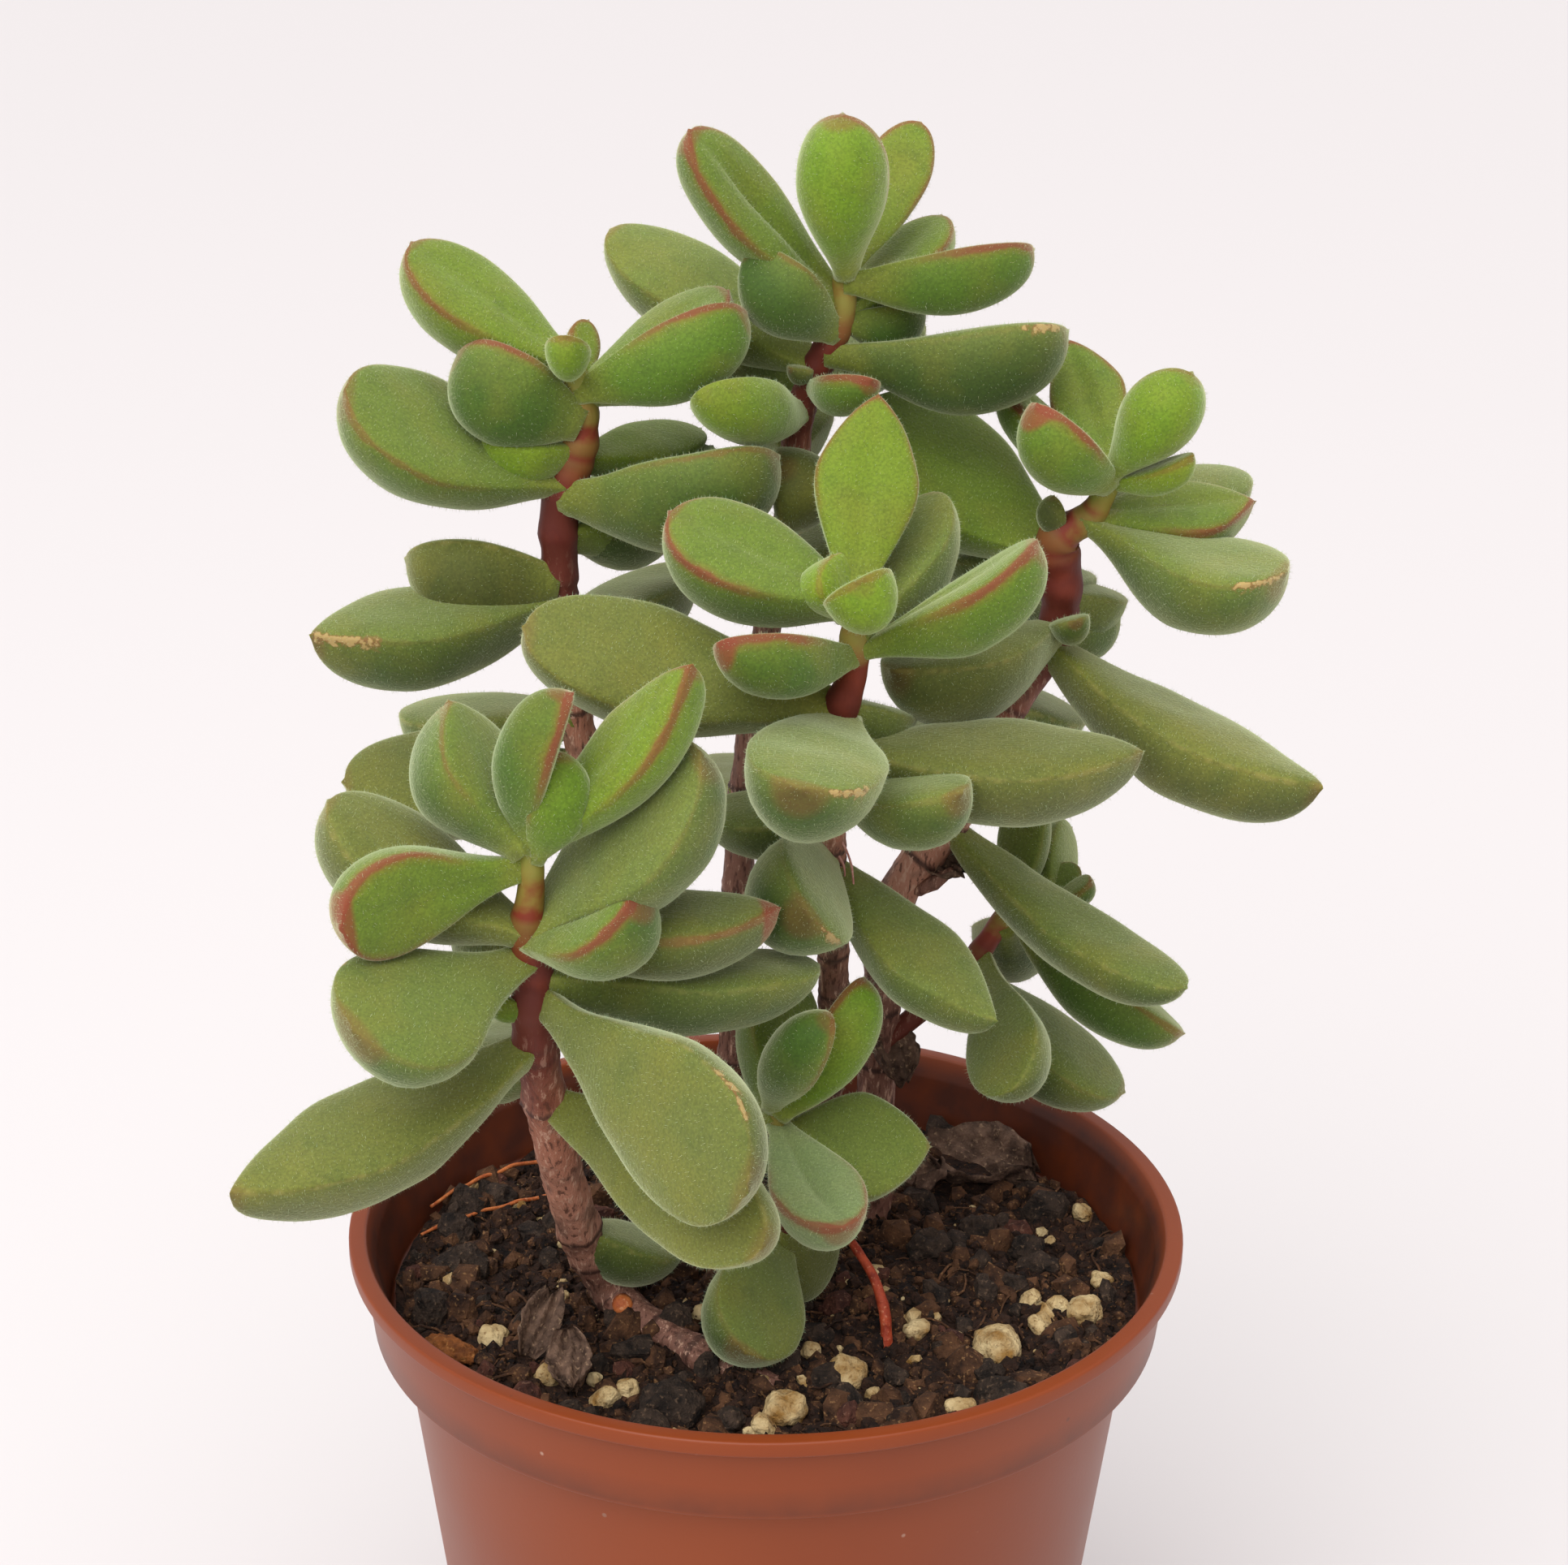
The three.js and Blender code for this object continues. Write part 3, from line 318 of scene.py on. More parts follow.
def paint(code):
    """A colour given as #rrggbb in sRGB, as the linear colour that the shaders take."""
    channels = [int(code[place:place + 2], 16) / 255 for place in (1, 3, 5)]
    linear = [c / 12.92 if c <= 0.04045 else ((c + 0.055) / 1.055) ** 2.4 for c in channels]
    return (*linear, 1)


def per_mm(size):
    """The texture scale at which one feature is about this many millimetres wide."""
    return 1 / (size * MM)


def add_node(tree, kind, inputs=(), give=0, stops=(), **settings):
    """Adds a node with its settings, colour stops and inputs, in order or by key. A socket is linked."""
    node = tree.nodes.new(kind)
    for name, value in settings.items():
        setattr(node, name, value)
    if stops:
        elements = node.color_ramp.elements
        for element, (place, colour) in zip(elements, (stops[0], stops[-1])):
            element.position = place
            element.color = paint(colour)
        for place, colour in stops[1:-1]:
            elements.new(place).color = paint(colour)
    for key, value in inputs.items() if isinstance(inputs, dict) else enumerate(inputs):
        if isinstance(value, bpy.types.NodeSocket):
            tree.links.new(value, node.inputs[key])
        else:
            node.inputs[key].default_value = value
    return node.outputs[give] if node.outputs else node


def layered(add, colour, layers):
    """Lays tints over a colour. How much of each shows follows a value, from its share at the low end of
    a range to its share at the high end, times a mask."""
    for value, low, high, share_low, share_high, mask, tint, *fade in layers:
        share = add(
            RANGE, [value, low, high, share_low, share_high],
            interpolation_type=fade[0] if fade else "LINEAR",
        )
        share = add(MATH, [share, mask], operation="MULTIPLY", use_clamp=True)
        tint = paint(tint) if isinstance(tint, str) else tint
        colour = add(MIX, {0: share, 6: colour, 7: tint}, 2, data_type="RGBA")
    return colour


def new_material(name, surface, *details):
    """A material with a Principled surface, whose inputs a function gives. It adds the nodes they need."""
    material = bpy.data.materials.new(name)
    material.use_nodes = True
    material.node_tree.nodes.clear()
    add = partial(add_node, material.node_tree)
    shader = add("ShaderNodeBsdfPrincipled", surface(add, *details))
    add("ShaderNodeOutputMaterial", {"Surface": shader})
    return material


# Living leaf of a velvety succulent: waxy green flesh under short hairs. The eye sees a soft matte
# green, yellower when the leaf is new and olive when it is old, a pale bloom where the velvet is seen
# edge-on, a thin crimson line in an orange-brown haze along the margin of the younger leaves, and
# a broken yellowish line along the margin of the older ones. The lower face is a darker, deeper green,
# partly its own colour and partly painted shade.
def leaf_skin(add):
    place = add("ShaderNodeTexCoord", give="Object")
    along, margin, face, age, blush, tip, scar, tone, bloom = (
        add("ShaderNodeAttribute", give="Fac", attribute_name=name)
        for name in ("along", "margin_mm", "upper_face", "age", "blush", "tip", "scar", "tone", "bloom")
    )
    # The widest are patches of 7 mm, and the finest is felt of a quarter of a millimetre
    patches, blotches, gaps, crumble, grain, felt = (
        add(NOISE, {"Vector": place, "Scale": per_mm(size), "Detail": detail})
        for size, detail in ((7, 2.0), (2.2, 3.0), (1.4, 2.0), (0.7, 3.0), (0.3, 3.0), (0.26, 2.0))
    )
    # The lower face's colours are darker than the upper's: partly the leaf's own deeper green, partly
    # painted shade where light from above reaches less
    upper = add(RAMP, [age], stops=[
        (0, "#6b811a"), (0.3, "#5e7422"), (0.6, "#626f30"), (0.8, "#5d692d"), (1, "#656b2e"),
    ])
    under = add(RAMP, [age], stops=[
        (0, "#6b881b"), (0.18, "#567317"), (0.36, "#3d5918"), (0.6, "#354a17"), (0.8, "#36441a"),
        (1, "#484d20"),
    ])
    side = add(RANGE, [face, -0.8, 0.25], interpolation_type="SMOOTHSTEP")
    flesh = add(MIX, {0: side, 6: under, 7: upper}, 2, data_type="RGBA")

    # A pale yellow-green foot, yellower and darker patches, and the wax of a sheltered young leaf
    flesh = layered(add, flesh, [
        (along, 0.0, 0.24, 0.7, 0.0, 1.0, "#7c8334"),
        (patches, 0.45, 0.75, 0.0, 0.45, 1.0, "#767328"),
        (blotches, 0.5, 0.8, 0.0, 0.3, 1.0, "#35491a"),
        (bloom, 0.0, 1.0, 0.0, 1.0, 1.0, "#8a9a70"),
    ])
    # The velvet lies in light and dark tufts
    tufts = add(RANGE, [felt, 0.35, 0.65, 0.85, 1.17])
    flesh = add("ShaderNodeHueSaturation", {"Value": tufts, "Color": flesh})

    # How near the margin a point is, with an edge that wanders by a quarter of a millimetre
    wander = add(RANGE, [blotches, 0.2, 0.8, -0.25, 0.25])
    near = add(MATH, [margin, wander], operation="ADD")
    # The old leaf's line has gaps in it
    kept = add(RANGE, [gaps, 0.42, 0.58])
    ripe = add(RANGE, [age, 0.45, 0.8, 0.0, 0.4])
    broken = add(MATH, [ripe, kept], operation="MULTIPLY")
    # The redder the young leaf's margin is, the wider, with more of it towards the point
    outward = add(RANGE, [along, 0.22, 0.72], interpolation_type="SMOOTHSTEP")
    reach = add(MATH, [outward, blush], operation="MULTIPLY", use_clamp=True)
    inward = add(RANGE, [along, 0.85, 1.0, 0.0, -0.35], interpolation_type="SMOOTHSTEP")
    tinted = add(MATH, [near, inward], operation="ADD")
    width = add(RANGE, [blush, 0.0, 1.6, 0.26, 0.88])
    tinted = add(MATH, [tinted, width], operation="DIVIDE")
    # The very point is brown, over a longer way on some leaves
    longer = add(RANGE, [tip, 0.0, 1.2, 0.0, 0.06])
    beyond = add(MATH, [along, longer], operation="ADD")
    # A scar has a ragged edge
    tear = add(RANGE, [crumble, 0.3, 0.7, -0.65, 0.45])
    ragged = add(MATH, [scar, tear], operation="ADD")
    # The old line, the haze, the crimson line, the red-brown point, and the scar's rind and tan cork
    flesh = layered(add, flesh, [
        (near, 0.05, 0.4, 1.0, 0.0, broken, "#948d4c"),
        (tinted, 0.3, 2.0, 0.45, 0.0, reach, "#7d5422", "SMOOTHSTEP"),
        (tinted, 0.35, 1.0, 0.7, 0.0, reach, "#782c28", "SMOOTHSTEP"),
        (beyond, 0.965, 1.0, 0.0, 1.0, tip, "#7c3a26", "SMOOTHSTEP"),
        (ragged, 0.3, 0.5, 0.0, 1.0, scar, "#7d5c33"),
        (ragged, 0.6, 0.8, 0.0, 1.0, 1.0, "#a58c58"),
    ])
    # Each leaf is a little lighter or darker than its neighbours
    shade = add(RANGE, [tone, -1.0, 1.0, 0.93, 1.07])
    flesh = add("ShaderNodeHueSaturation", {"Value": shade, "Color": flesh})
    swell = add(MATH, [grain, blotches], operation="ADD")
    return {
        "Base Color": flesh,
        "Roughness": 0.65,
        "IOR": 1.42,
        "Specular IOR Level": 0.25,
        "Subsurface Weight": 0.15,
        "Subsurface Radius": (0.5, 1.0, 0.15),
        "Subsurface Scale": 1.0 * MM,
        "Sheen Weight": 1.0,
        "Sheen Roughness": 0.42,
        "Sheen Tint": paint("#dae2b9"),
        "Normal": add(BUMP, {"Strength": 0.5, "Distance": 0.15 * MM, "Height": swell}),
    }


# Plant hair: a clear, nearly white thread. The eye sees a pale fringe round each leaf.
def leaf_hair(_):
    return {
        "Base Color": paint("#b4c095"),
        "Roughness": 0.5,
        "IOR": 1.45,
        "Specular IOR Level": 0.4,
        "Subsurface Weight": 0.3,
        "Subsurface Scale": 0.2 * MM,
    }


# Stem of a small shrub: yellow-green at the very top, then smooth crimson-brown, then woody bark that
# is pinkish where it is fresh and grey-brown where it is old, and peels in pale flakes.
def stem_bark(add):
    place = add("ShaderNodeTexCoord", give="Object")
    below_tip, node_ring = (
        add("ShaderNodeAttribute", give="Fac", attribute_name=name) for name in ("below_tip_mm", "node_mm")
    )
    wide = add(NOISE, {"Vector": place, "Scale": per_mm(3), "Detail": 3.0})
    # Bark tears along the stem, so its grain is drawn out upwards
    drawn = add("ShaderNodeMapping", {"Vector": place, "Scale": (1, 1, 0.22)}, vector_type="POINT")
    grain = add(NOISE, {"Vector": drawn, "Scale": per_mm(0.5), "Detail": 5.0, "Roughness": 0.65})
    shift = add(RANGE, [wide, 0.25, 0.75, -4.0, 4.0])
    ripe = add(MATH, [below_tip, shift], operation="ADD")
    ripe = add(RANGE, [ripe, 0.0, 60.0])
    skin = add(RAMP, [ripe], stops=[
        (0, "#838f3c"), (0.06, "#8a7434"), (0.12, "#7f3422"), (0.25, "#5c231a"),
        (0.42, "#6b3427"), (0.56, "#a06851"), (0.85, "#b38069"), (1, "#80594a"),
    ])
    young = add(RANGE, [below_tip, 5.0, 12.0, 1.0, 0.0])
    old = add(RANGE, [below_tip, 18.0, 34.0])
    # Yellow-green collars on young nodes, dark cracks at old ones, grey-brown patches of dead bark,
    # pale flakes and dark grooves
    skin = layered(add, skin, [
        (node_ring, 0.4, 1.1, 0.7, 0.0, young, "#857f38"),
        (node_ring, 0.15, 0.5, 0.85, 0.0, old, "#33201a"),
        (wide, 0.52, 0.64, 0.0, 0.5, old, "#5a463c"),
        (grain, 0.56, 0.62, 0.0, 0.85, old, "#c39c85"),
        (grain, 0.38, 0.45, 0.75, 0.0, old, "#3f241c"),
    ])
    rough = add(RANGE, {0: old, 3: 0.15, 4: 1.0})
    relief = add(MATH, [grain, rough], operation="MULTIPLY")
    return {
        "Base Color": skin,
        "Roughness": 0.6,
        "IOR": 1.45,
        "Specular IOR Level": 0.35,
        "Normal": add(BUMP, {"Strength": 0.9, "Distance": 0.35 * MM, "Height": relief}),
    }


# Injection-moulded polypropylene in terracotta: an even orange-brown with a satin skin, faint flow
# marks, a few pale and dark specks of dust, and inside the collar a mottled dark band of painted shade.
def moulded_plastic(add):
    place = add("ShaderNodeTexCoord", give="Object")
    flow, kind, shade_mottle, skin = (
        add(NOISE, {"Vector": place, "Scale": per_mm(size), "Detail": detail})
        for size, detail in ((30, 3.0), (9, 0.0), (4, 4.0), (0.5, 2.0))
    )
    dust = add("ShaderNodeTexVoronoi", {"Vector": place, "Scale": per_mm(6), "Randomness": 1.0})
    grit = add(RAMP, [kind], stops=[(0.45, "#5a2d1c"), (0.55, "#b99a86")])

    # Painted shade inside the collar: how far in from the lip, and how far up from the step
    across = add(VECTOR_MATH, [place, (1, 1, 0)], operation="MULTIPLY")
    radius = add(VECTOR_MATH, [across], "Value", operation="LENGTH")
    height = add("ShaderNodeSeparateXYZ", [place], "Z")
    step = POT_HEIGHT - COLLAR_HEIGHT
    within = add(RANGE, [radius, (LIP_INNER_RADIUS - 0.1) * MM, (LIP_INNER_RADIUS - 0.7) * MM])
    above = add(RANGE, [height, step * MM, (step + 0.6) * MM])
    inside = add(MATH, [within, above], operation="MULTIPLY")
    colour = add(RAMP, [flow], stops=[(0.3, "#7a3410"), (0.7, "#843c17")])
    colour = layered(add, colour, [
        (dust, 0.03, 0.05, 0.6, 0.0, 1.0, grit),
        # A dark mottled band of painted shade inside the collar
        (shade_mottle, 0.3, 0.6, 0.55, 0.95, inside, "#4a261b"),
    ])
    return {
        "Base Color": colour,
        "Roughness": add(RANGE, [flow, 0.3, 0.7, 0.36, 0.44]),
        "IOR": 1.49,
        "Specular IOR Level": 0.3,
        "Subsurface Weight": 0.05,
        "Subsurface Radius": (1.0, 0.4, 0.2),
        "Subsurface Scale": 0.8 * MM,
        "Normal": add(BUMP, {"Strength": 0.12, "Distance": 0.05 * MM, "Height": skin}),
    }


# Earth, stone and litter share one build: two colours in patches, a third in flecks, and a rough skin.
def crumbly(add, dark, light, fleck, patch_mm, fleck_mm, fleck_amount, relief_mm, roughness=0.9):
    place = add("ShaderNodeTexCoord", give="Object")
    patch = add(NOISE, {"Vector": place, "Scale": per_mm(patch_mm), "Detail": 5.0, "Roughness": 0.6})
    speck = add(NOISE, {"Vector": place, "Scale": per_mm(fleck_mm), "Detail": 3.0})
    colour = add(RAMP, [patch], stops=[(0.35, dark), (0.65, light)])
    height = add(MATH, [patch, speck], operation="ADD")
    return {
        "Base Color": layered(add, colour, [(speck, 0.6, 0.68, 0.0, fleck_amount, 1.0, fleck)]),
        "Roughness": roughness,
        "Specular IOR Level": 0.25,
        "Normal": add(BUMP, {"Strength": 0.9, "Distance": relief_mm * MM, "Height": height}),
    }


LEAF_SKIN = new_material("velvety_leaf_skin", leaf_skin)
LEAF_HAIR = new_material("white_plant_hair", leaf_hair)
STEM_BARK = new_material("peeling_stem_bark", stem_bark)
POT_PLASTIC = new_material("moulded_polypropylene", moulded_plastic)
PEAT = new_material("moist_peat", crumbly, "#0f0907", "#382419", "#75502f", 1.6, 0.5, 0.5, 0.6)
PEAT_CRUMB = new_material("dry_peat_crumb", crumbly, "#23150e", "#5f402a", "#967049", 2.5, 0.4, 0.6, 0.3)
PUMICE = new_material("pumice_stone", crumbly, "#8d6935", "#d3bd8e", "#76542a", 3.0, 0.4, 0.7, 0.4)
LAVA = new_material("lava_rock", crumbly, "#1b1511", "#43352b", "#735c48", 1.8, 0.45, 0.5, 0.5)
RED_LAVA = new_material("red_lava_rock", crumbly, "#38201a", "#5f392c", "#856552", 1.8, 0.45, 0.5, 0.4)
WITHERED_LEAF = new_material(
    "withered_leaf", crumbly, "#3c2c23", "#7b6150", "#ab8d70", 1.8, 0.5, 0.6, 0.4, 0.8,
)
BARK_CHIP = new_material("pine_bark_chip", crumbly, "#5a3218", "#93592c", "#b98248", 1.5, 0.5, 0.5, 0.4)
ROOT_SKIN = new_material("root_skin", crumbly, "#9a4a25", "#c8763f", "#dba678", 1.2, 0.4, 0.5, 0.1, 0.6)
AERIAL_ROOT_SKIN = new_material(
    "aerial_root_skin", crumbly, "#a8685e", "#cf9d90", "#e0beb2", 1.0, 0.3, 0.4, 0.05, 0.5,
)
RED_STALK_SKIN = new_material(
    "red_stalk_skin", crumbly, "#7d2715", "#b04a2c", "#d08a66", 1.2, 0.4, 0.5, 0.12, 0.55,
)


# Meshes
def noise_at(*place):
    return noise.noise(Vector(place))


def round_angles(sides):
    return np.linspace(0, 2 * math.pi, sides, endpoint=False)


def mesh_of(name, points, faces, attributes=None):
    """A smooth mesh from points in millimetres."""
    mesh = bpy.data.meshes.new(name)
    mesh.from_pydata((np.asarray(points) * MM).tolist(), [], [list(face) for face in faces])
    for key, values in (attributes or {}).items():
        layer = mesh.attributes.new(key, "FLOAT", "POINT")
        layer.data.foreach_set("value", np.asarray(values, np.float32))
    mesh.polygons.foreach_set("use_smooth", [True] * len(mesh.polygons))
    mesh.update()
    return mesh


def object_of(name, data, material=None):
    """An object in the scene that shows a mesh, a light or a camera."""
    piece = bpy.data.objects.new(name, data)
    bpy.context.scene.collection.objects.link(piece)
    if material:
        data.materials.clear()
        data.materials.append(material)
    return piece


def finished(name, mesh, material, slot, *nodes):
    """Finishes a piece: it rides on the body and stands for its CAD nodes. Its slot is not used."""
    piece = object_of(name, mesh, material)
    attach(piece, "root")
    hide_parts(*nodes)


def applied(piece):
    """The mesh of an object with its modifiers applied. The object itself is deleted."""
    bpy.context.view_layer.update()
    evaluated = piece.evaluated_get(bpy.context.evaluated_depsgraph_get())
    mesh = bpy.data.meshes.new_from_object(evaluated)
    bpy.data.objects.remove(piece)
    return mesh


def vectors_of(mesh, key):
    """The places ("co") or the normals ("normal") of a mesh's points."""
    values = np.zeros(len(mesh.vertices) * 3)
    mesh.vertices.foreach_get(key, values)
    return values.reshape(-1, 3)


def moved(mesh, points):
    """The same mesh with its points at these places, in metres."""
    mesh.vertices.foreach_set("co", points.ravel())
    mesh.update()
    return mesh


def ring_faces(rings, sides, first):
    """Faces between rings of points, with both ends closed on a point that comes after them."""
    loop = [(side, (side + 1) % sides) for side in range(sides)]
    start = first + rings * sides
    last = start - sides
    faces = [
        (ring + a, ring + b, ring + b + sides, ring + a + sides)
        for ring in range(first, last, sides) for a, b in loop
    ]
    for a, b in loop:
        faces += [(start, first + b, first + a), (start + 1, last + a, last + b)]
    return faces


class Body:
    """Points, faces and attributes of several closed shapes, gathered in one mesh."""

    def __init__(self):
        self.points = []
        self.faces = []
        self.attributes = {}
        self.count = 0

    def add(self, rings, start, end, **attributes):
        """Adds a tube of rings that is closed at each end on a point."""
        rings = np.asarray(rings)
        count, sides = rings.shape[:2]
        self.faces += ring_faces(count, sides, self.count)
        self.points += [rings.reshape(-1, 3), np.array([start, end])]
        for key, values in attributes.items():
            values = np.broadcast_to(values, (count, sides))
            ends = [values[0].mean(), values[-1].mean()]
            self.attributes.setdefault(key, []).append(np.concatenate([values.ravel(), ends]))
        self.count += count * sides + 2

    def mesh(self, name):
        attributes = {key: np.concatenate(values) for key, values in self.attributes.items()}
        return mesh_of(name, np.concatenate(self.points), self.faces, attributes)


def roughened(points, size, depth, seed):
    """Moves points along a smooth random field: size and depth in millimetres."""
    shift = Vector((seed * 3.7, seed * 1.3, seed * 2.1))
    moves = [noise.noise_vector(Vector(point) / size + shift) for point in points.reshape(-1, 3)]
    return points + np.array(moves).reshape(points.shape) * depth


# Stems
def stem_curve(stem, shares):
    """Points and radii along a smooth curve through a stem's points (a centripetal Catmull-Rom spline)."""
    knots = np.array(stem, float)
    centres = knots[:, :3]
    places = np.clip(np.asarray(shares, float), 0, 1) * (len(stem) - 1)
    points = []
    for place in places:
        index = min(int(place), len(stem) - 2)
        share = place - index
        p1, p2 = centres[index], centres[index + 1]
        p0 = centres[index - 1] if index else 2 * p1 - p2
        p3 = centres[index + 2] if index + 2 < len(stem) else 2 * p2 - p1
        d0, d1, d2 = (max(np.sum((b - a) ** 2) ** 0.25, 1e-4) for a, b in ((p0, p1), (p1, p2), (p2, p3)))
        t1 = ((p1 - p0) / d0 - (p2 - p0) / (d0 + d1) + (p2 - p1) / d1) * d1
        t2 = ((p2 - p1) / d1 - (p3 - p1) / (d1 + d2) + (p3 - p2) / d2) * d1
        points.append(
            p1 + t1 * share + (3 * (p2 - p1) - 2 * t1 - t2) * share ** 2
            + (2 * (p1 - p2) + t1 + t2) * share ** 3
        )
    radii = np.interp(places, np.arange(len(stem)), knots[:, 3])
    return np.array(points), radii


def tube_rings(points, radii, sides):
    """Rings round a line of points; radii has one value for each point, or for each point and side."""
    tangents = np.gradient(points, axis=0)
    tangents /= np.linalg.norm(tangents, axis=1)[:, None]
    across = np.array([1.0, 0, 0])
    angles = round_angles(sides)
    radii = np.broadcast_to(np.asarray(radii).reshape(len(points), -1), (len(points), sides))
    rings = []
    for point, tangent, radius in zip(points, tangents, radii):
        across = across - tangent * across.dot(tangent)
        across /= np.linalg.norm(across)
        third = np.cross(tangent, across)
        rings.append(
            point + np.outer(radius * np.cos(angles), across) + np.outer(radius * np.sin(angles), third)
        )
    return np.array(rings)


def stem_line(stem, step):
    """A stem's points a step apart, their radii, and their lengths along the curve."""
    even = np.linspace(0, 1, CURVE_STEPS)
    rough, _ = stem_curve(stem, even)
    lengths = np.concatenate([[0], np.cumsum(np.linalg.norm(np.diff(rough, axis=0), axis=1))])
    places = np.linspace(0, lengths[-1], int(lengths[-1] / step))
    points, radii = stem_curve(stem, np.interp(places, lengths, even))
    return points, radii, places


def add_stem(body, shoot, draw):
    """The stem, swollen at each pair of leaves, with the rings of fallen leaves below them."""
    points, radii, lengths = stem_line(shoot["stem"], STEM_STEP)
    nodes = [lengths[np.argmin(abs(points[:, 2] - leaf[0]))] for leaf in shoot["leaves"]]
    scar = min(nodes) - SCAR_SPACING[0]
    while scar > LOWEST_SCAR:
        nodes.append(scar)
        scar -= draw.uniform(*SCAR_SPACING)
    from_node = np.min(abs(lengths[:, None] - np.array(nodes)), axis=1)
    below_tip = (lengths[-1] - lengths) * shoot["older"]
    woody = np.clip((below_tip - 12) / 20, 0, 1)
    swollen = radii * (1 + 0.16 * np.exp(-((from_node / 1.1) ** 2)))
    cut = 0.12 * woody * np.exp(-(((from_node - 0.4) / 0.3) ** 2))
    angles = round_angles(STEM_SIDES)
    ridged, fine = (
        np.array([
            [noise_at(far * math.cos(a), far * math.sin(a), length * up + shift) for a in angles]
            for length in lengths
        ]) for far, up, shift in ((3, 0.25, 0), (9, 1.1, 40))
    )
    rough = 1 + (0.05 + 0.1 * woody)[:, None] * ridged + 0.07 * woody[:, None] * fine
    body.add(
        tube_rings(points, (swollen - cut)[:, None] * rough, STEM_SIDES),
        points[0], points[-1] + (points[-1] - points[-2]) * 0.6,
        below_tip_mm=below_tip[:, None], node_mm=from_node[:, None],
    )


def add_stub(body, line):
    """A short dead twig with torn bark."""
    points, radii, lengths = stem_line(line, THREAD_STEP)
    torn = np.array([
        [1 + 0.25 * noise_at(side * 1.5, length, 0) for side in range(STUB_SIDES)] for length in lengths
    ])
    rings = tube_rings(points, radii[:, None] * torn, STUB_SIDES)
    body.add(rings, points[0], points[-1], below_tip_mm=90, node_mm=9)


def point_at_height(stem, height):
    points, _ = stem_curve(stem, np.linspace(1, 0, HEIGHT_STEPS))
    return points[np.argmin(abs(points[:, 2] - height))]


# Leaves
def leaf_frame(base, heading, rise, length, roll, bend, share, root=0):
    """A leaf's curled midline at shares of its length, the directions along and across the leaf, and the
    upward direction at each point. The root is how far the first point goes back into the stem."""
    yaw, pitch, turn = math.radians(heading), math.radians(rise), math.radians(roll)
    chord = np.array([math.cos(yaw) * math.cos(pitch), math.sin(yaw) * math.cos(pitch), math.sin(pitch)])
    level = np.array([-math.sin(yaw), math.cos(yaw), 0])
    side = level * math.cos(turn) + np.cross(chord, level) * math.sin(turn)
    up = np.cross(chord, side)
    arc = math.radians(bend or 0.5)
    radius = length / (2 * math.sin(arc / 2))
    angle = arc * (share - 0.5)
    along = radius * (np.sin(angle) + math.sin(arc / 2))
    sag = -radius * (np.cos(angle) - math.cos(arc / 2))
    along[0] -= root
    normal = np.outer(np.cos(angle), up) - np.outer(np.sin(angle), chord)
    return base + np.outer(along, chord) + np.outer(sag, up), chord, side, normal


def leaf_half_width(share, form):
    foot, widest, flare, point, blunt, _, _ = form
    swell = np.sin(np.clip(share / widest, 0, 1) * math.pi / 2) ** flare
    beyond = np.clip((share - widest) / (1 - widest), 0, 1)
    return np.where(share < widest, foot + (1 - foot) * swell, (1 - beyond ** point) ** blunt)


def leaf_fullness(share, form):
    heel, fill = form[-2:]
    swell = heel + (1 - heel) * np.sin(np.clip(share / 0.55, 0, 1) * math.pi / 2) ** fill
    beyond = np.clip((share - 0.55) / 0.45, 0, 1)
    return np.where(share < 0.55, swell, np.sqrt(1 - beyond ** 2.4))


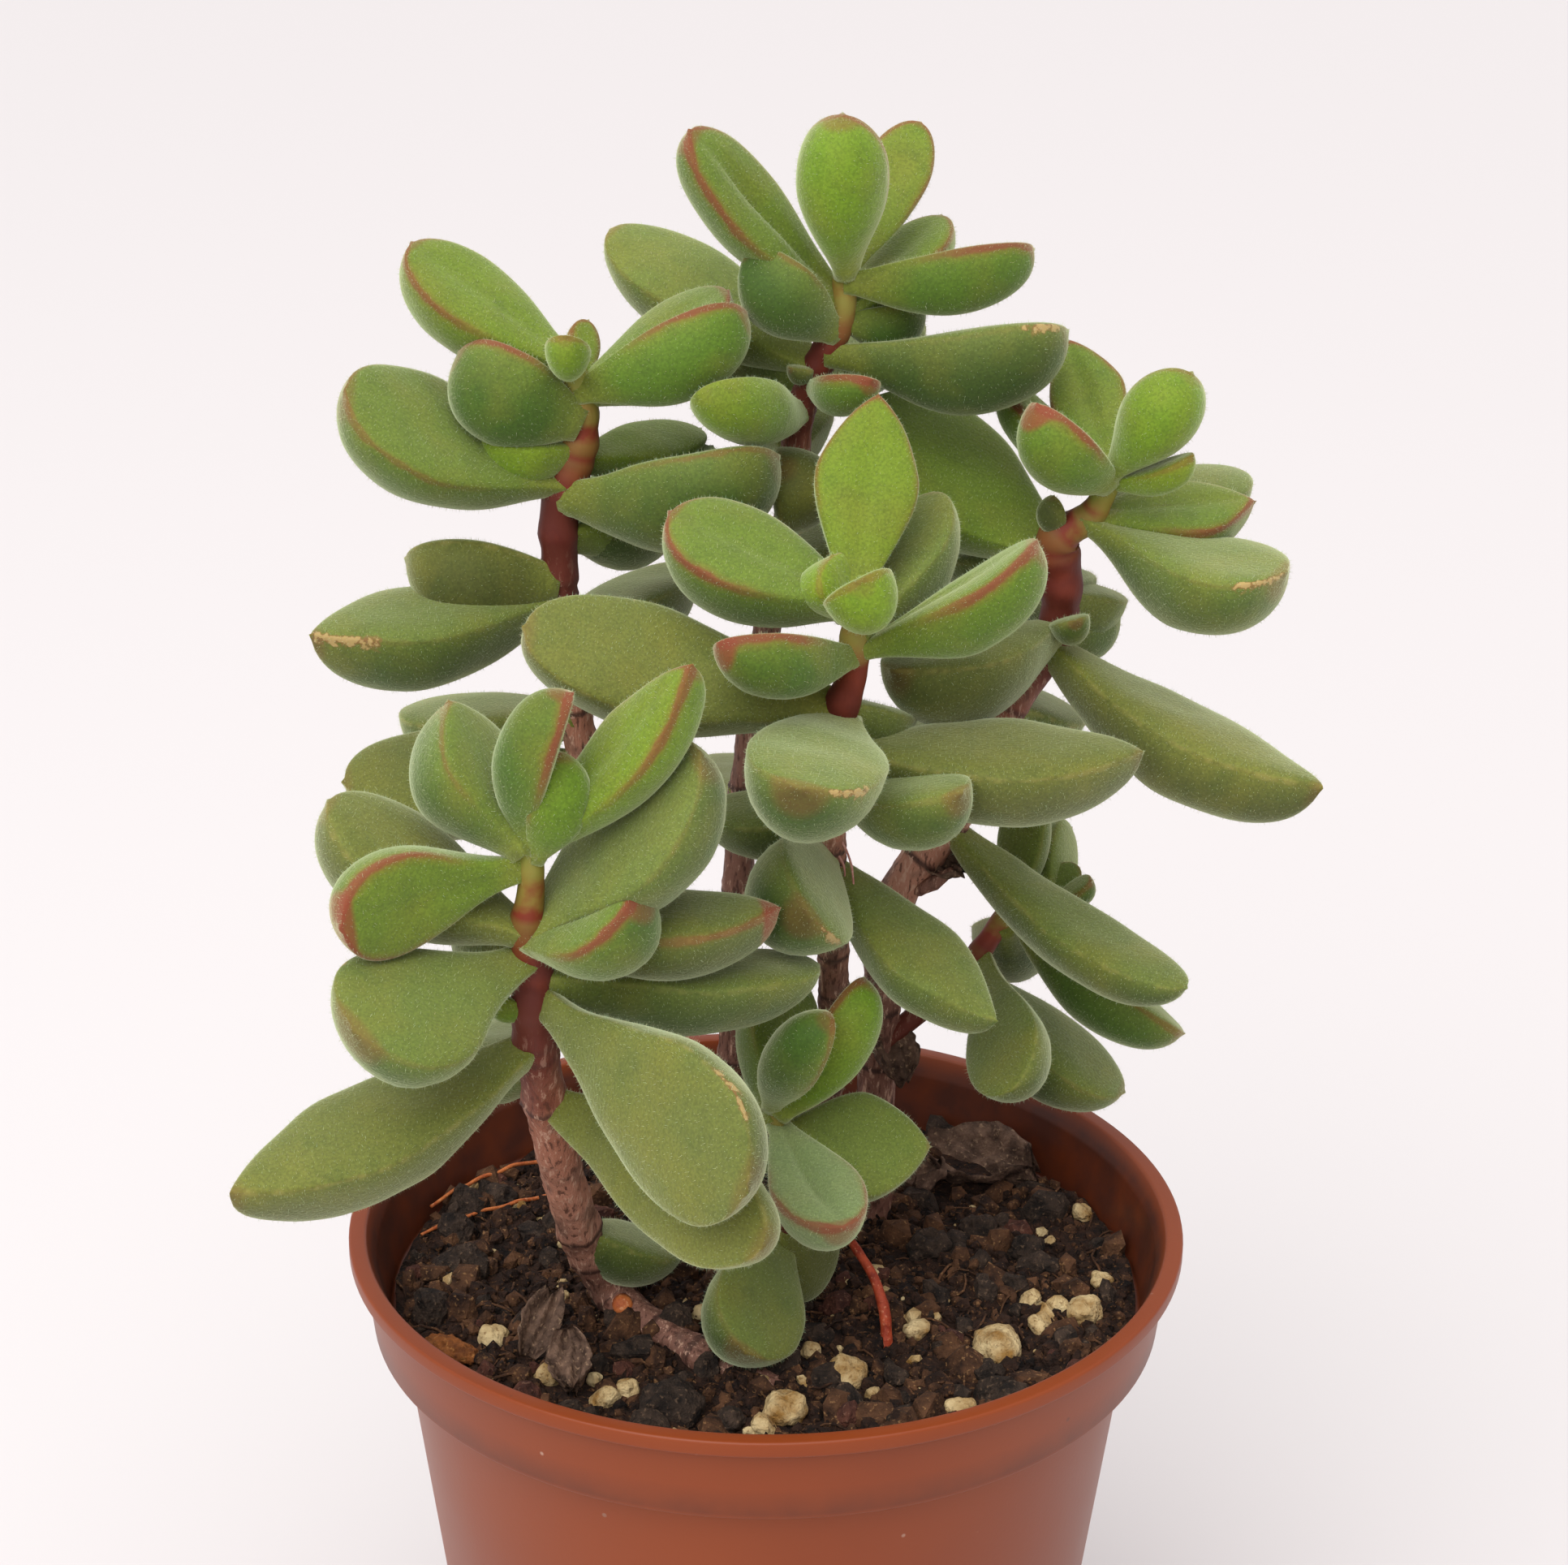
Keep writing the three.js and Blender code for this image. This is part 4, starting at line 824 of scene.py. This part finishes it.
def add_leaf(body, stem, row, scars, seed):
    """One plump leaf: flat above, round below, with a soft margin between them."""
    draw = random.Random(seed)
    height, heading, rise, length, width, roll, bend, look, *named = row
    form = LEAF_FORMS[named[0] if named else "oval"]
    age, blush, tip, groove, dish, bloom = LOOKS[look]
    base = point_at_height(stem, height)
    share = 1 - (1 - np.linspace(0, 0.992, LEAF_STATIONS)) ** 1.35
    share[0] = 0
    centre, chord, side, normal = leaf_frame(base, heading, rise, length, roll, bend, share, LEAF_ROOT)
    wobble = np.array([noise_at(s * 3.5, seed * 1.7, 0) for s in share])
    half = width / 2 * leaf_half_width(share, form) * (1 + 0.04 * wobble)
    full = min(width * LEAF_THICKNESS, LEAF_THICKEST) * leaf_fullness(share, form)
    turn = round_angles(LEAF_SIDES)
    across, up = np.cos(turn), np.sin(turn)
    crown = LEAF_DOME * np.sqrt(np.clip(1 - abs(across) ** 3, 0, 1))
    fold = groove * np.exp(-((across / 0.13) ** 2)) + dish * (1 - across ** 2)
    spread = np.clip(np.sin(share * math.pi), 0, 1)
    rising = np.where(up > 0, crown - fold * spread[:, None], LEAF_BELLY * np.clip(up, -1, 0))
    x = half[:, None] * across
    y = full[:, None] * rising
    rings = centre[:, None] + x[..., None] * side + y[..., None] * normal[:, None]
    rings = roughened(rings, 6, 0.22 * (length / 20), seed)

    # The way round the section to the nearer margin
    loop = np.stack([x, y], axis=-1)
    steps = np.linalg.norm(np.diff(np.concatenate([loop, loop[:, :1]], axis=1), axis=1), axis=2)
    round_way = np.concatenate([np.zeros((len(share), 1)), np.cumsum(steps, axis=1)], axis=1)
    total, half_way = round_way[:, -1:], round_way[:, LEAF_SIDES // 2:LEAF_SIDES // 2 + 1]
    round_way = round_way[:, :-1]
    margin = np.minimum(np.minimum(round_way, total - round_way), abs(round_way - half_way))

    scar = np.zeros((len(share), LEAF_SIDES))
    for start, end, edge, wide in scars:
        past = np.maximum(start - share, share - end).clip(0)[:, None] * length
        distance = np.hypot(past, margin) + np.where(across * edge > 0, 0, 10)
        scar = np.maximum(scar, np.clip(1.3 - distance / wide, 0, 1))
    body.add(
        rings, centre[0], base + chord * (length + 0.2),
        along=share[:, None], margin_mm=margin, upper_face=up, scar=scar,
        age=np.clip(age + draw.uniform(-0.08, 0.08), 0, 1), blush=blush, tip=tip,
        tone=draw.uniform(-1, 1), bloom=bloom,
    )


# Geometry Nodes
def scatter_tree(name, on_leaves):
    """Points strewn over a surface, each with a copy of a small shape that stands on the surface."""
    tree = bpy.data.node_groups.new(name, "GeometryNodeTree")
    tree.is_modifier = True
    add = partial(add_node, tree)
    for label, kind in (
        ("Surface", "Geometry"), ("Shape", "Object"), ("Per square metre", "Float"), ("Smallest", "Float"),
        ("Largest", "Float"), ("Tilt", "Float"), ("Seed", "Int"), ("Finish", "Material"),
    ):
        tree.interface.new_socket(label, in_out="INPUT", socket_type=f"NodeSocket{kind}")
    tree.interface.new_socket("Pieces", in_out="OUTPUT", socket_type="NodeSocketGeometry")
    asked = add("NodeGroupInput").node.outputs
    density = asked["Per square metre"]
    if on_leaves:
        # Hairs stand over twice as close along the margins as on the faces
        margin = add("GeometryNodeInputNamedAttribute", {"Name": "margin_mm"}, data_type="FLOAT")
        closer = add(RANGE, [margin, 0.3, 1.6, 2.2, 0.85])
        density = add(MATH, [density, closer], operation="MULTIPLY")
    strewn = add(
        "GeometryNodeDistributePointsOnFaces",
        {"Mesh": asked["Surface"], "Density": density, "Seed": asked["Seed"]},
    ).node.outputs
    tilt = add(VECTOR_MATH, {0: (1, 1, 0), "Scale": asked["Tilt"]}, operation="SCALE")
    high = add(VECTOR_MATH, [tilt, (0, 0, math.pi)], operation="ADD")
    low = add(VECTOR_MATH, {0: high, "Scale": -1.0}, operation="SCALE")
    lean = add("FunctionNodeRandomValue", {0: low, 1: high, "Seed": asked["Seed"]}, data_type="FLOAT_VECTOR")
    turned = add(
        "FunctionNodeRotateRotation", {"Rotation": strewn["Rotation"], "Rotate By": lean},
        rotation_space="LOCAL",
    )
    # Small ones are common and large ones are rare
    chance = add("FunctionNodeRandomValue", {2: 0.0, 3: 1.0, "Seed": asked["Seed"]}, 1, data_type="FLOAT")
    rare = add(MATH, [chance, 2.5], operation="POWER")
    size = add(RANGE, {0: rare, 3: asked["Smallest"], 4: asked["Largest"]})
    shape = add("GeometryNodeObjectInfo", {"Object": asked["Shape"]}, "Geometry")
    placed = add(
        "GeometryNodeInstanceOnPoints",
        {"Points": strewn["Points"], "Instance": shape, "Rotation": turned, "Scale": size},
    )
    real = add("GeometryNodeRealizeInstances", {"Geometry": placed})
    done = add("GeometryNodeSetMaterial", {"Geometry": real, "Material": asked["Finish"]})
    add("NodeGroupOutput", {"Pieces": done})
    return tree


def strewn_over(surface, tree, shape, per_mm2, smallest, largest, tilt, seed, finish):
    """The mesh that a scatter tree makes over a surface mesh, with sizes in millimetres."""
    ground = object_of("ground", surface.copy())
    modifier = ground.modifiers.new("strewn", "NODES")
    modifier.node_group = tree
    sockets = {item.name: item.identifier for item in tree.interface.items_tree if item.in_out == "INPUT"}
    for label, value in (
        ("Shape", shape), ("Per square metre", per_mm2 / MM ** 2), ("Smallest", smallest * MM),
        ("Largest", largest * MM), ("Tilt", tilt), ("Seed", seed), ("Finish", finish),
    ):
        modifier[sockets[label]] = value
    return applied(ground)


def hair_shape():
    """A three-sided thorn one metre long, to be scaled to a hair's length."""
    width = HAIR_WIDTH / HAIR_LENGTH / 2
    points = [(width * math.cos(a), width * math.sin(a), 0) for a in (0, 2.094, 4.189)] + [(0, 0, 1)]
    mesh = mesh_of("hair", np.array(points) / MM, [(0, 1, 3), (1, 2, 3), (2, 0, 3)])
    return object_of("hair", mesh)


def grain_shape(name, detail, depth, seed, flat=1.0):
    """A rough lump one metre across, to be scaled to a crumb's size."""
    lump = bmesh.new()
    bmesh.ops.create_icosphere(lump, subdivisions=detail, radius=0.5)
    draw = random.Random(seed)
    for vert in lump.verts:
        vert.co *= 1 + draw.uniform(-depth, depth)
        vert.co.z *= flat
        vert.co.x *= 1.2
    mesh = bpy.data.meshes.new(name)
    lump.to_mesh(mesh)
    lump.free()
    return object_of(name, mesh)


def fibre_shape():
    """A bent thread one metre long with four-sided turns, to be scaled to a fibre of peat."""
    line = np.array([(x, 0.12 * math.sin(x * 5), 0.1 * math.cos(x * 7)) for x in np.linspace(-0.5, 0.5, 7)])
    body = Body()
    body.add(tube_rings(line, np.full(7, 0.022), 4), line[0], line[-1])
    points = np.concatenate(body.points) / MM
    return object_of("fibre", mesh_of("fibre", points, body.faces))


HAIRS = scatter_tree("hairs_on_leaves", True)
STREWN = scatter_tree("strewn_grit", False)


# The plant: for each shoot its leaves, its stem and the hairs on its leaves
HAIR_SHAPE = hair_shape()
for number, shoot in enumerate(SHOOTS):
    name, node = shoot["name"], shoot["node"]
    leaves, stem = Body(), Body()
    for place, row in enumerate(shoot["leaves"]):
        scars = [scar[1:] for scar in shoot["scars"] if scar[0] == place]
        add_leaf(leaves, shoot["stem"], row, scars, 100 * number + place + 1)
    add_stem(stem, shoot, random.Random(number + 40))
    if name == "right":
        add_stub(stem, STUB)
    leaf_mesh = leaves.mesh(f"{name}_leaves")
    finished(f"{name}_leaves", leaf_mesh, LEAF_SKIN, "leaf", node)
    finished(f"{name}_stem", stem.mesh(f"{name}_stem"), STEM_BARK, "leaf", node)
    hairs = strewn_over(
        leaf_mesh, HAIRS, HAIR_SHAPE, HAIRS_PER_MM2, HAIR_LENGTH * 0.7, HAIR_LENGTH * 1.3, HAIR_TILT,
        number, LEAF_HAIR,
    )
    finished(f"{name}_hairs", hairs, LEAF_HAIR, "leaf", node)


# The pot
def softened(profile, reach, steps=4):
    """A profile with its corners rounded over a short reach, in millimetres."""
    profile = [np.array(point, float) for point in profile]
    soft = [profile[0]]
    for before, corner, after in zip(profile, profile[1:], profile[2:]):
        sizes = [np.linalg.norm(point - corner) for point in (before, after)]
        arm = min(reach, *(size / 2.2 for size in sizes))
        start, end = (corner + (point - corner) / size * arm for point, size in zip((before, after), sizes))
        for share in np.linspace(0, 1, steps):
            soft.append((1 - share) ** 2 * start + 2 * share * (1 - share) * corner + share ** 2 * end)
    return soft + [profile[-1]]


def turned_rings(profile, sides):
    """Rings of a profile of (radius, height) turned round the upright axis."""
    angles = round_angles(sides)
    return np.array([
        np.stack([radius * np.cos(angles), radius * np.sin(angles), np.full(sides, height)], axis=1)
        for radius, height in profile
    ])


def pot_mesh():
    """The nursery pot: a tapering body, a stepped collar and a turned-out lip, with drain holes."""
    collar_bottom = POT_HEIGHT - COLLAR_HEIGHT
    lip_bottom = POT_HEIGHT - LIP_HEIGHT
    step = collar_bottom + COLLAR_STEP
    body = Body()
    body.add(turned_rings(softened([
        (NEAR_AXIS, 0),
        (CENTRE_PAD, 0),
        (CENTRE_PAD + FOOT_RECESS, FOOT_RECESS),
        (BASE_RADIUS - FOOT_RING, FOOT_RECESS),
        (BASE_RADIUS - FOOT_RING, 0),
        (BASE_RADIUS, 0),
        (BODY_TOP_RADIUS, collar_bottom),
        (COLLAR_BOTTOM_RADIUS, collar_bottom),
        (COLLAR_TOP_RADIUS, lip_bottom),
        (LIP_RADIUS, lip_bottom),
        (LIP_RADIUS, POT_HEIGHT),
        (LIP_INNER_RADIUS, POT_HEIGHT),
        (COLLAR_TOP_RADIUS - WALL, lip_bottom - 0.6),
        (SOIL_EDGE_RADIUS + SOIL_GAP, step),
        (BODY_TOP_RADIUS - WALL, step),
        (BASE_RADIUS - WALL + 0.2, FOOT_RECESS + WALL),
        (NEAR_AXIS, FOOT_RECESS + WALL),
    ], POT_FILLET), POT_SIDES), (0, 0, 0), (0, 0, FOOT_RECESS + WALL))
    pot = object_of("nursery_pot", body.mesh("nursery_pot"))
    holes = Body()
    low, high = DRILL_HEIGHTS
    drill = [(NEAR_AXIS, low), (DRAIN_RADIUS, low), (DRAIN_RADIUS, high), (NEAR_AXIS, high)]
    for number in range(DRAIN_COUNT):
        angle = 2 * math.pi * (number + 0.5) / DRAIN_COUNT
        shift = np.array([DRAIN_CIRCLE * math.cos(angle), DRAIN_CIRCLE * math.sin(angle), 0])
        holes.add(turned_rings(drill, DRAIN_SIDES) + shift, shift + (0, 0, low), shift + (0, 0, high))
    cutter = object_of("drill", holes.mesh("drill"))
    cut = pot.modifiers.new("drains", "BOOLEAN")
    cut.object = cutter
    cut.solver = "EXACT"
    mesh = applied(pot)
    bpy.data.objects.remove(cutter)
    mesh.set_sharp_from_angle(angle=math.radians(50))
    return mesh


finished("nursery_pot", pot_mesh(), POT_PLASTIC, "pot", "pot")


# Soil
def soil_height(x, y):
    coarse = math.sin(x * 0.31 + 1.3) * math.cos(y * 0.27 - 0.6)
    fine = math.sin(x * 0.93 + y * 0.41) * math.sin(y * 0.83 - x * 0.29)
    return SOIL_LEVEL + SOIL_RELIEF * (0.6 * coarse + 0.4 * fine)


def footprint(node):
    """Where a node lies on the soil: its centre and its half widths, in millimetres."""
    low, high = (np.array(corner)[:2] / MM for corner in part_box(node))
    return *((low + high) / 2), *((high - low) / 2)


LYING = [footprint(node) for node in [*PUMICE_NODES, *LAVA_NODES, *LITTER_NODES]]


def out_from_litter(x, y):
    """How far a place is from the stones and litter: under 1 beneath one of them, and more beside it."""
    return min(math.hypot((x - cx) / wide, (y - cy) / deep) for cx, cy, wide, deep in LYING)


def clod_height(x, y):
    """The soil's rough top: clods, lumps and crumbs of these sizes and depths, level beneath the stones."""
    clods, lumps, crumbs = (
        noise_at(x / size, y / size, seed) * depth
        for size, depth, seed in ((4, 0.8, 3), (1.6, 0.45, 8), (0.7, 0.2, 5))
    )
    loose = min(max(out_from_litter(x, y) - 0.8, 0), 1)
    return soil_height(x, y) + (clods + lumps) * loose + crumbs - 0.2 * (1 - loose)


def soil_mesh():
    """The soil: a plug that follows the pot's inside, with a rough top."""
    floor = FOOT_RECESS + WALL + SOIL_GAP
    step = POT_HEIGHT - COLLAR_HEIGHT + COLLAR_STEP + SOIL_GAP
    edge = SOIL_EDGE_RADIUS - SOIL_EDGE_GAP
    plug = turned_rings([
        (BASE_RADIUS - WALL - SOIL_SIDE_GAP, floor),
        (BODY_TOP_RADIUS - WALL - SOIL_SIDE_GAP, step - SOIL_STEP_DROP),
        (edge, step - SOIL_STEP_DROP),
    ], SOIL_SIDES)
    top = turned_rings([(radius, 0) for radius in np.linspace(edge, 0.5, SOIL_RINGS)], SOIL_SIDES)
    for point in top.reshape(-1, 3):
        point[2] = clod_height(point[0], point[1])
    body = Body()
    body.add(np.concatenate([plug, top]), (0, 0, floor), (0, 0, clod_height(0, 0)))
    return body.mesh("potting_soil")


soil = soil_mesh()
finished("potting_soil", soil, PEAT, "soil", "soil")
ground = bmesh.new()
ground.from_mesh(soil)
side_faces = [
    face for face in ground.faces
    if face.normal.z < 0.2
    or face.calc_center_median().xy.length > (SOIL_EDGE_RADIUS - GRIT_MARGIN) * MM
    or out_from_litter(*(face.calc_center_median().xy / MM)) < 1
]
bmesh.ops.delete(ground, geom=side_faces, context="FACES")
soil_top = bpy.data.meshes.new("soil_top")
ground.to_mesh(soil_top)
ground.free()


def kept_in_the_pot(mesh):
    """Pushes what pokes through the pot's wall back against its inner side."""
    points = vectors_of(mesh, "co")
    reach = np.hypot(points[:, 0], points[:, 1])
    points[:, :2] *= np.minimum(1, SOIL_EDGE_RADIUS * MM / np.maximum(reach, MM))[:, None]
    return moved(mesh, points)


# What lies on the soil: (name, shape, how many per mm2, smallest and largest size in mm, finish, slot)
SHAPES = {
    "crumb": grain_shape("crumb", 1, 0.25, 1),
    "pebble": grain_shape("pebble", 2, 0.13, 2, 0.75),
    "chip": grain_shape("chip", 1, 0.2, 5, 0.75),
    "clinker": grain_shape("clinker", 2, 0.22, 3, 0.85),
    "fibre": fibre_shape(),
}
GRIT = [
    ("peat_crumbs", "crumb", 0.9, 0.4, 2.1, PEAT, "soil"),
    ("brown_crumbs", "crumb", 0.5, 0.3, 1.8, PEAT_CRUMB, "soil"),
    ("bark_crumbs", "chip", 0.1, 1.0, 4.6, PEAT_CRUMB, "soil"),
    ("lava_gravel", "clinker", 0.035, 1.4, 4.8, LAVA, "lava"),
    ("red_lava_gravel", "clinker", 0.01, 1.2, 3.6, RED_LAVA, "lava"),
    ("pumice_gravel", "pebble", 0.008, 1.2, 3.2, PUMICE, "pumice"),
    ("pumice_chips", "chip", 0.012, 0.9, 2.8, PUMICE, "pumice"),
    ("pumice_dust", "crumb", 0.03, 0.25, 0.6, PUMICE, "pumice"),
    ("peat_fibres", "fibre", 0.14, 2, 8, PEAT_CRUMB, "soil"),
]
for number, (name, shape, density, smallest, largest, finish, slot) in enumerate(GRIT):
    # Fibres lie nearly flat, and the rest tumbles
    tilt = 0.4 if shape == "fibre" else 3.0
    pieces = strewn_over(
        soil_top, STREWN, SHAPES[shape], density, smallest, largest, tilt, number + 60, finish
    )
    finished(name, kept_in_the_pot(pieces), finish, slot, "soil")


# Stones and bark: the frame's own solids, rounded off and roughened
def weathered(node, levels, depth, size, seed):
    """A copy of a node's solid with its corners worn and its skin rough: depth and size in millimetres."""
    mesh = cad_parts[node].data.copy()
    stone = bmesh.new()
    stone.from_mesh(mesh)
    bmesh.ops.remove_doubles(stone, verts=stone.verts, dist=0.01 * MM)
    stone.to_mesh(mesh)
    stone.free()
    piece = object_of("worn", mesh)
    worn = piece.modifiers.new("worn", "SUBSURF")
    worn.levels = worn.render_levels = levels
    mesh = applied(piece)
    points = vectors_of(mesh, "co")
    for index, (point, normal) in enumerate(zip(points, vectors_of(mesh, "normal"))):
        place = Vector(point) / (size * MM) + Vector((seed, 0, 0))
        rough = noise.noise(place) + 0.5 * noise.noise(place * 2.7)
        points[index] = point + normal * (0.12 + rough) * depth * MM
    mesh.polygons.foreach_set("use_smooth", [True] * len(mesh.polygons))
    return moved(mesh, points)


def joined(meshes, name):
    whole = bmesh.new()
    for mesh in meshes:
        whole.from_mesh(mesh)
    mesh = bpy.data.meshes.new(name)
    whole.to_mesh(mesh)
    whole.free()
    return mesh


def levels_of(node):
    """The smallest solids have few faces, and take one more level."""
    return 2 if len(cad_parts[node].data.polygons) > 30 else 3


pumice = [weathered(node, levels_of(node), 0.55, 1.9, seed) for seed, node in enumerate(PUMICE_NODES)]
finished("pumice_stones", joined(pumice, "pumice_stones"), PUMICE, "pumice", *PUMICE_NODES)
lava = [weathered(node, levels_of(node), 0.55, 1.3, seed + 30) for seed, node in enumerate(LAVA_NODES)]
finished("lava_stones", joined(lava, "lava_stones"), LAVA, "lava", *LAVA_NODES)
finished("bark_piece", weathered("bark_chip", 3, 0.3, 0.9, 70), BARK_CHIP, "bark", "bark_chip")


# Dry leaves
def add_dry_leaf(body, base, heading, rise, length, width, roll, bend, seed):
    """A thin, curled and wrinkled sheet."""
    share = np.linspace(0.02, 0.98, DRY_LEAF_STATIONS)
    centre, _, side, normal = leaf_frame(base, heading, rise, length, roll, bend, share)
    half = width / 2 * (0.3 + 0.7 * np.sin(share * math.pi) ** 0.7)
    sheet = []
    for middle, upward, reach, where in zip(centre, normal, half, share):
        for cross in np.linspace(1, -1, DRY_LEAF_POINTS):
            ragged = 1 + 0.12 * noise_at(where * 9, cross * 2, seed)
            fold = noise_at(where * 4, cross * 2.2, seed + 5) * 0.16 * width
            curl = 0.36 * width * abs(cross) ** 2.4
            crease = 0.09 * width * math.sin(cross * 9 + where * 4 + seed)
            sheet.append(middle + side * reach * cross * ragged + upward * (fold + curl + crease))
    sheet = np.array(sheet).reshape(len(share), -1, 3)
    under = sheet[:, ::-1] - normal[:, None] * DRY_LEAF_THICKNESS
    rings = np.concatenate([sheet, under], axis=1)
    body.add(rings, rings[0].mean(axis=0), rings[-1].mean(axis=0))


for number, (x, y, over, *turns_and_sizes) in enumerate(DRY_LEAVES):
    leaf = Body()
    add_dry_leaf(leaf, np.array([x, y, soil_height(x, y) + over]), *turns_and_sizes, number + 3)
    name = f"dry_leaf_{number + 1}"
    finished(f"{name}_sheet", leaf.mesh(name), WITHERED_LEAF, "dry_leaf", name)

withered = Body()
trunk = next(shoot["stem"] for shoot in SHOOTS if shoot["name"] == "right")
for number, (height, *rest) in enumerate(WITHERED):
    add_dry_leaf(withered, point_at_height(trunk, height), *rest, number + 20)
finished("withered_leaves", withered.mesh("withered_leaves"), WITHERED_LEAF, "dry_leaf", "right_shoot")


# Roots and the red stalk
def add_thread(body, line, wander, seed, thin=1.0):
    """A thin root along a line of points, which wanders a little from side to side."""
    points, radii, lengths = stem_line(line, THREAD_STEP)
    shift = np.array([noise.noise_vector(Vector((length / 3, seed, 0))) for length in lengths])
    fade = np.sin(np.linspace(0, math.pi, len(points)))[:, None]
    points = points + shift * fade * wander
    knots = np.array([1 + 0.15 * noise_at(length / 1.2, 0, seed) for length in lengths])
    body.add(tube_rings(points, radii * knots * thin, THREAD_SIDES), points[0], points[-1])


stalk = Body()
add_thread(stalk, RED_STALK, 0.15, 4)
finished("red_stalk_skin", stalk.mesh("red_stalk_skin"), RED_STALK_SKIN, "root", "red_stalk")
for number, line in enumerate(ROOTS):
    root = Body()
    add_thread(root, line, 0.5, number + 8, thin=0.5)
    name = f"root_{number + 1}"
    finished(f"{name}_skin", root.mesh(f"{name}_skin"), ROOT_SKIN, "root", name)

# The orange scar of a fallen bud, at the foot of the front stem
scar = Body()
line = np.array(BUD_SCAR)
scar.add(tube_rings(line[:, :3], line[:, 3], SCAR_SIDES), line[0, :3], line[-1, :3])
finished("bud_scar", scar.mesh("bud_scar"), ROOT_SKIN, "root")

# Aerial roots: hair-thin pink threads that hang from the nodes of the stems
for number, line in enumerate(AERIAL_ROOTS):
    root = Body()
    add_thread(root, line, 0.4, number + 20)
    name = f"aerial_root_{number + 1}"
    finished(name, root.mesh(name), AERIAL_ROOT_SKIN, "root")

for shape in [HAIR_SHAPE, *SHAPES.values()]:
    bpy.data.objects.remove(shape)


# The stage: a plain pale floor, an even light from high on the left and a soft one from the front
def pale_floor(_):
    return {"Base Color": paint("#cfcccb"), "Roughness": 0.9, "Specular IOR Level": 0.1}


FLOOR_REACH = 9000
FLOOR_DROP = 0.05
corners = [(x * FLOOR_REACH, y * FLOOR_REACH, -FLOOR_DROP) for x, y in ((-1, -1), (1, -1), (1, 1), (-1, 1))]
floor_mesh = mesh_of("floor", corners, [(0, 1, 2, 3)])
floor = object_of("floor", floor_mesh, new_material("plain_pale_floor", pale_floor))

# A soft light from the front left that faces the plant: places and size in metres, power in watts
light = bpy.data.lights.new("front_light", "AREA")
light.size = 0.8
light.energy = 4.5
lamp = object_of("front_light", light)
lamp.location = (-0.3, -0.75, 0.75)
lamp.rotation_euler = (Vector((0, 0, 0.1)) - lamp.location).to_track_quat("-Z", "Y").to_euler()

# An even light from high on the left, as wide as a ceiling of lamps
ceiling = bpy.data.lights.new("ceiling", "SUN")
ceiling.energy = 2.45
ceiling.angle = math.radians(75)
object_of("ceiling", ceiling).rotation_euler = (math.radians(22), math.radians(-12), 0)

world = bpy.data.worlds.new("studio")
world.use_nodes = True
sky = world.node_tree.nodes["Background"].inputs
sky["Color"].default_value = paint("#fdf7fa")
sky["Strength"].default_value = 0.75
bpy.context.scene.world = world
bpy.context.scene.view_settings.view_transform = "Standard"

# The camera stands where the photograph was taken: a little above the plant, looking down
CAMERA_PLACE = (0.001445, -0.272433, 0.22588)
CAMERA_PITCH = 20.85
CAMERA_ROLL = 0.47
CAMERA_LENS = 68.94
camera = bpy.data.cameras.new("camera")
camera.lens = CAMERA_LENS
camera.sensor_width = 36
camera.clip_start = 0.01
viewer = object_of("camera", camera)
tilt = Matrix.Rotation(math.radians(90 - CAMERA_PITCH), 4, "X")
roll = Matrix.Rotation(math.radians(CAMERA_ROLL), 4, "Z")
viewer.matrix_world = Matrix.Translation(CAMERA_PLACE) @ tilt @ roll
bpy.context.scene.camera = viewer
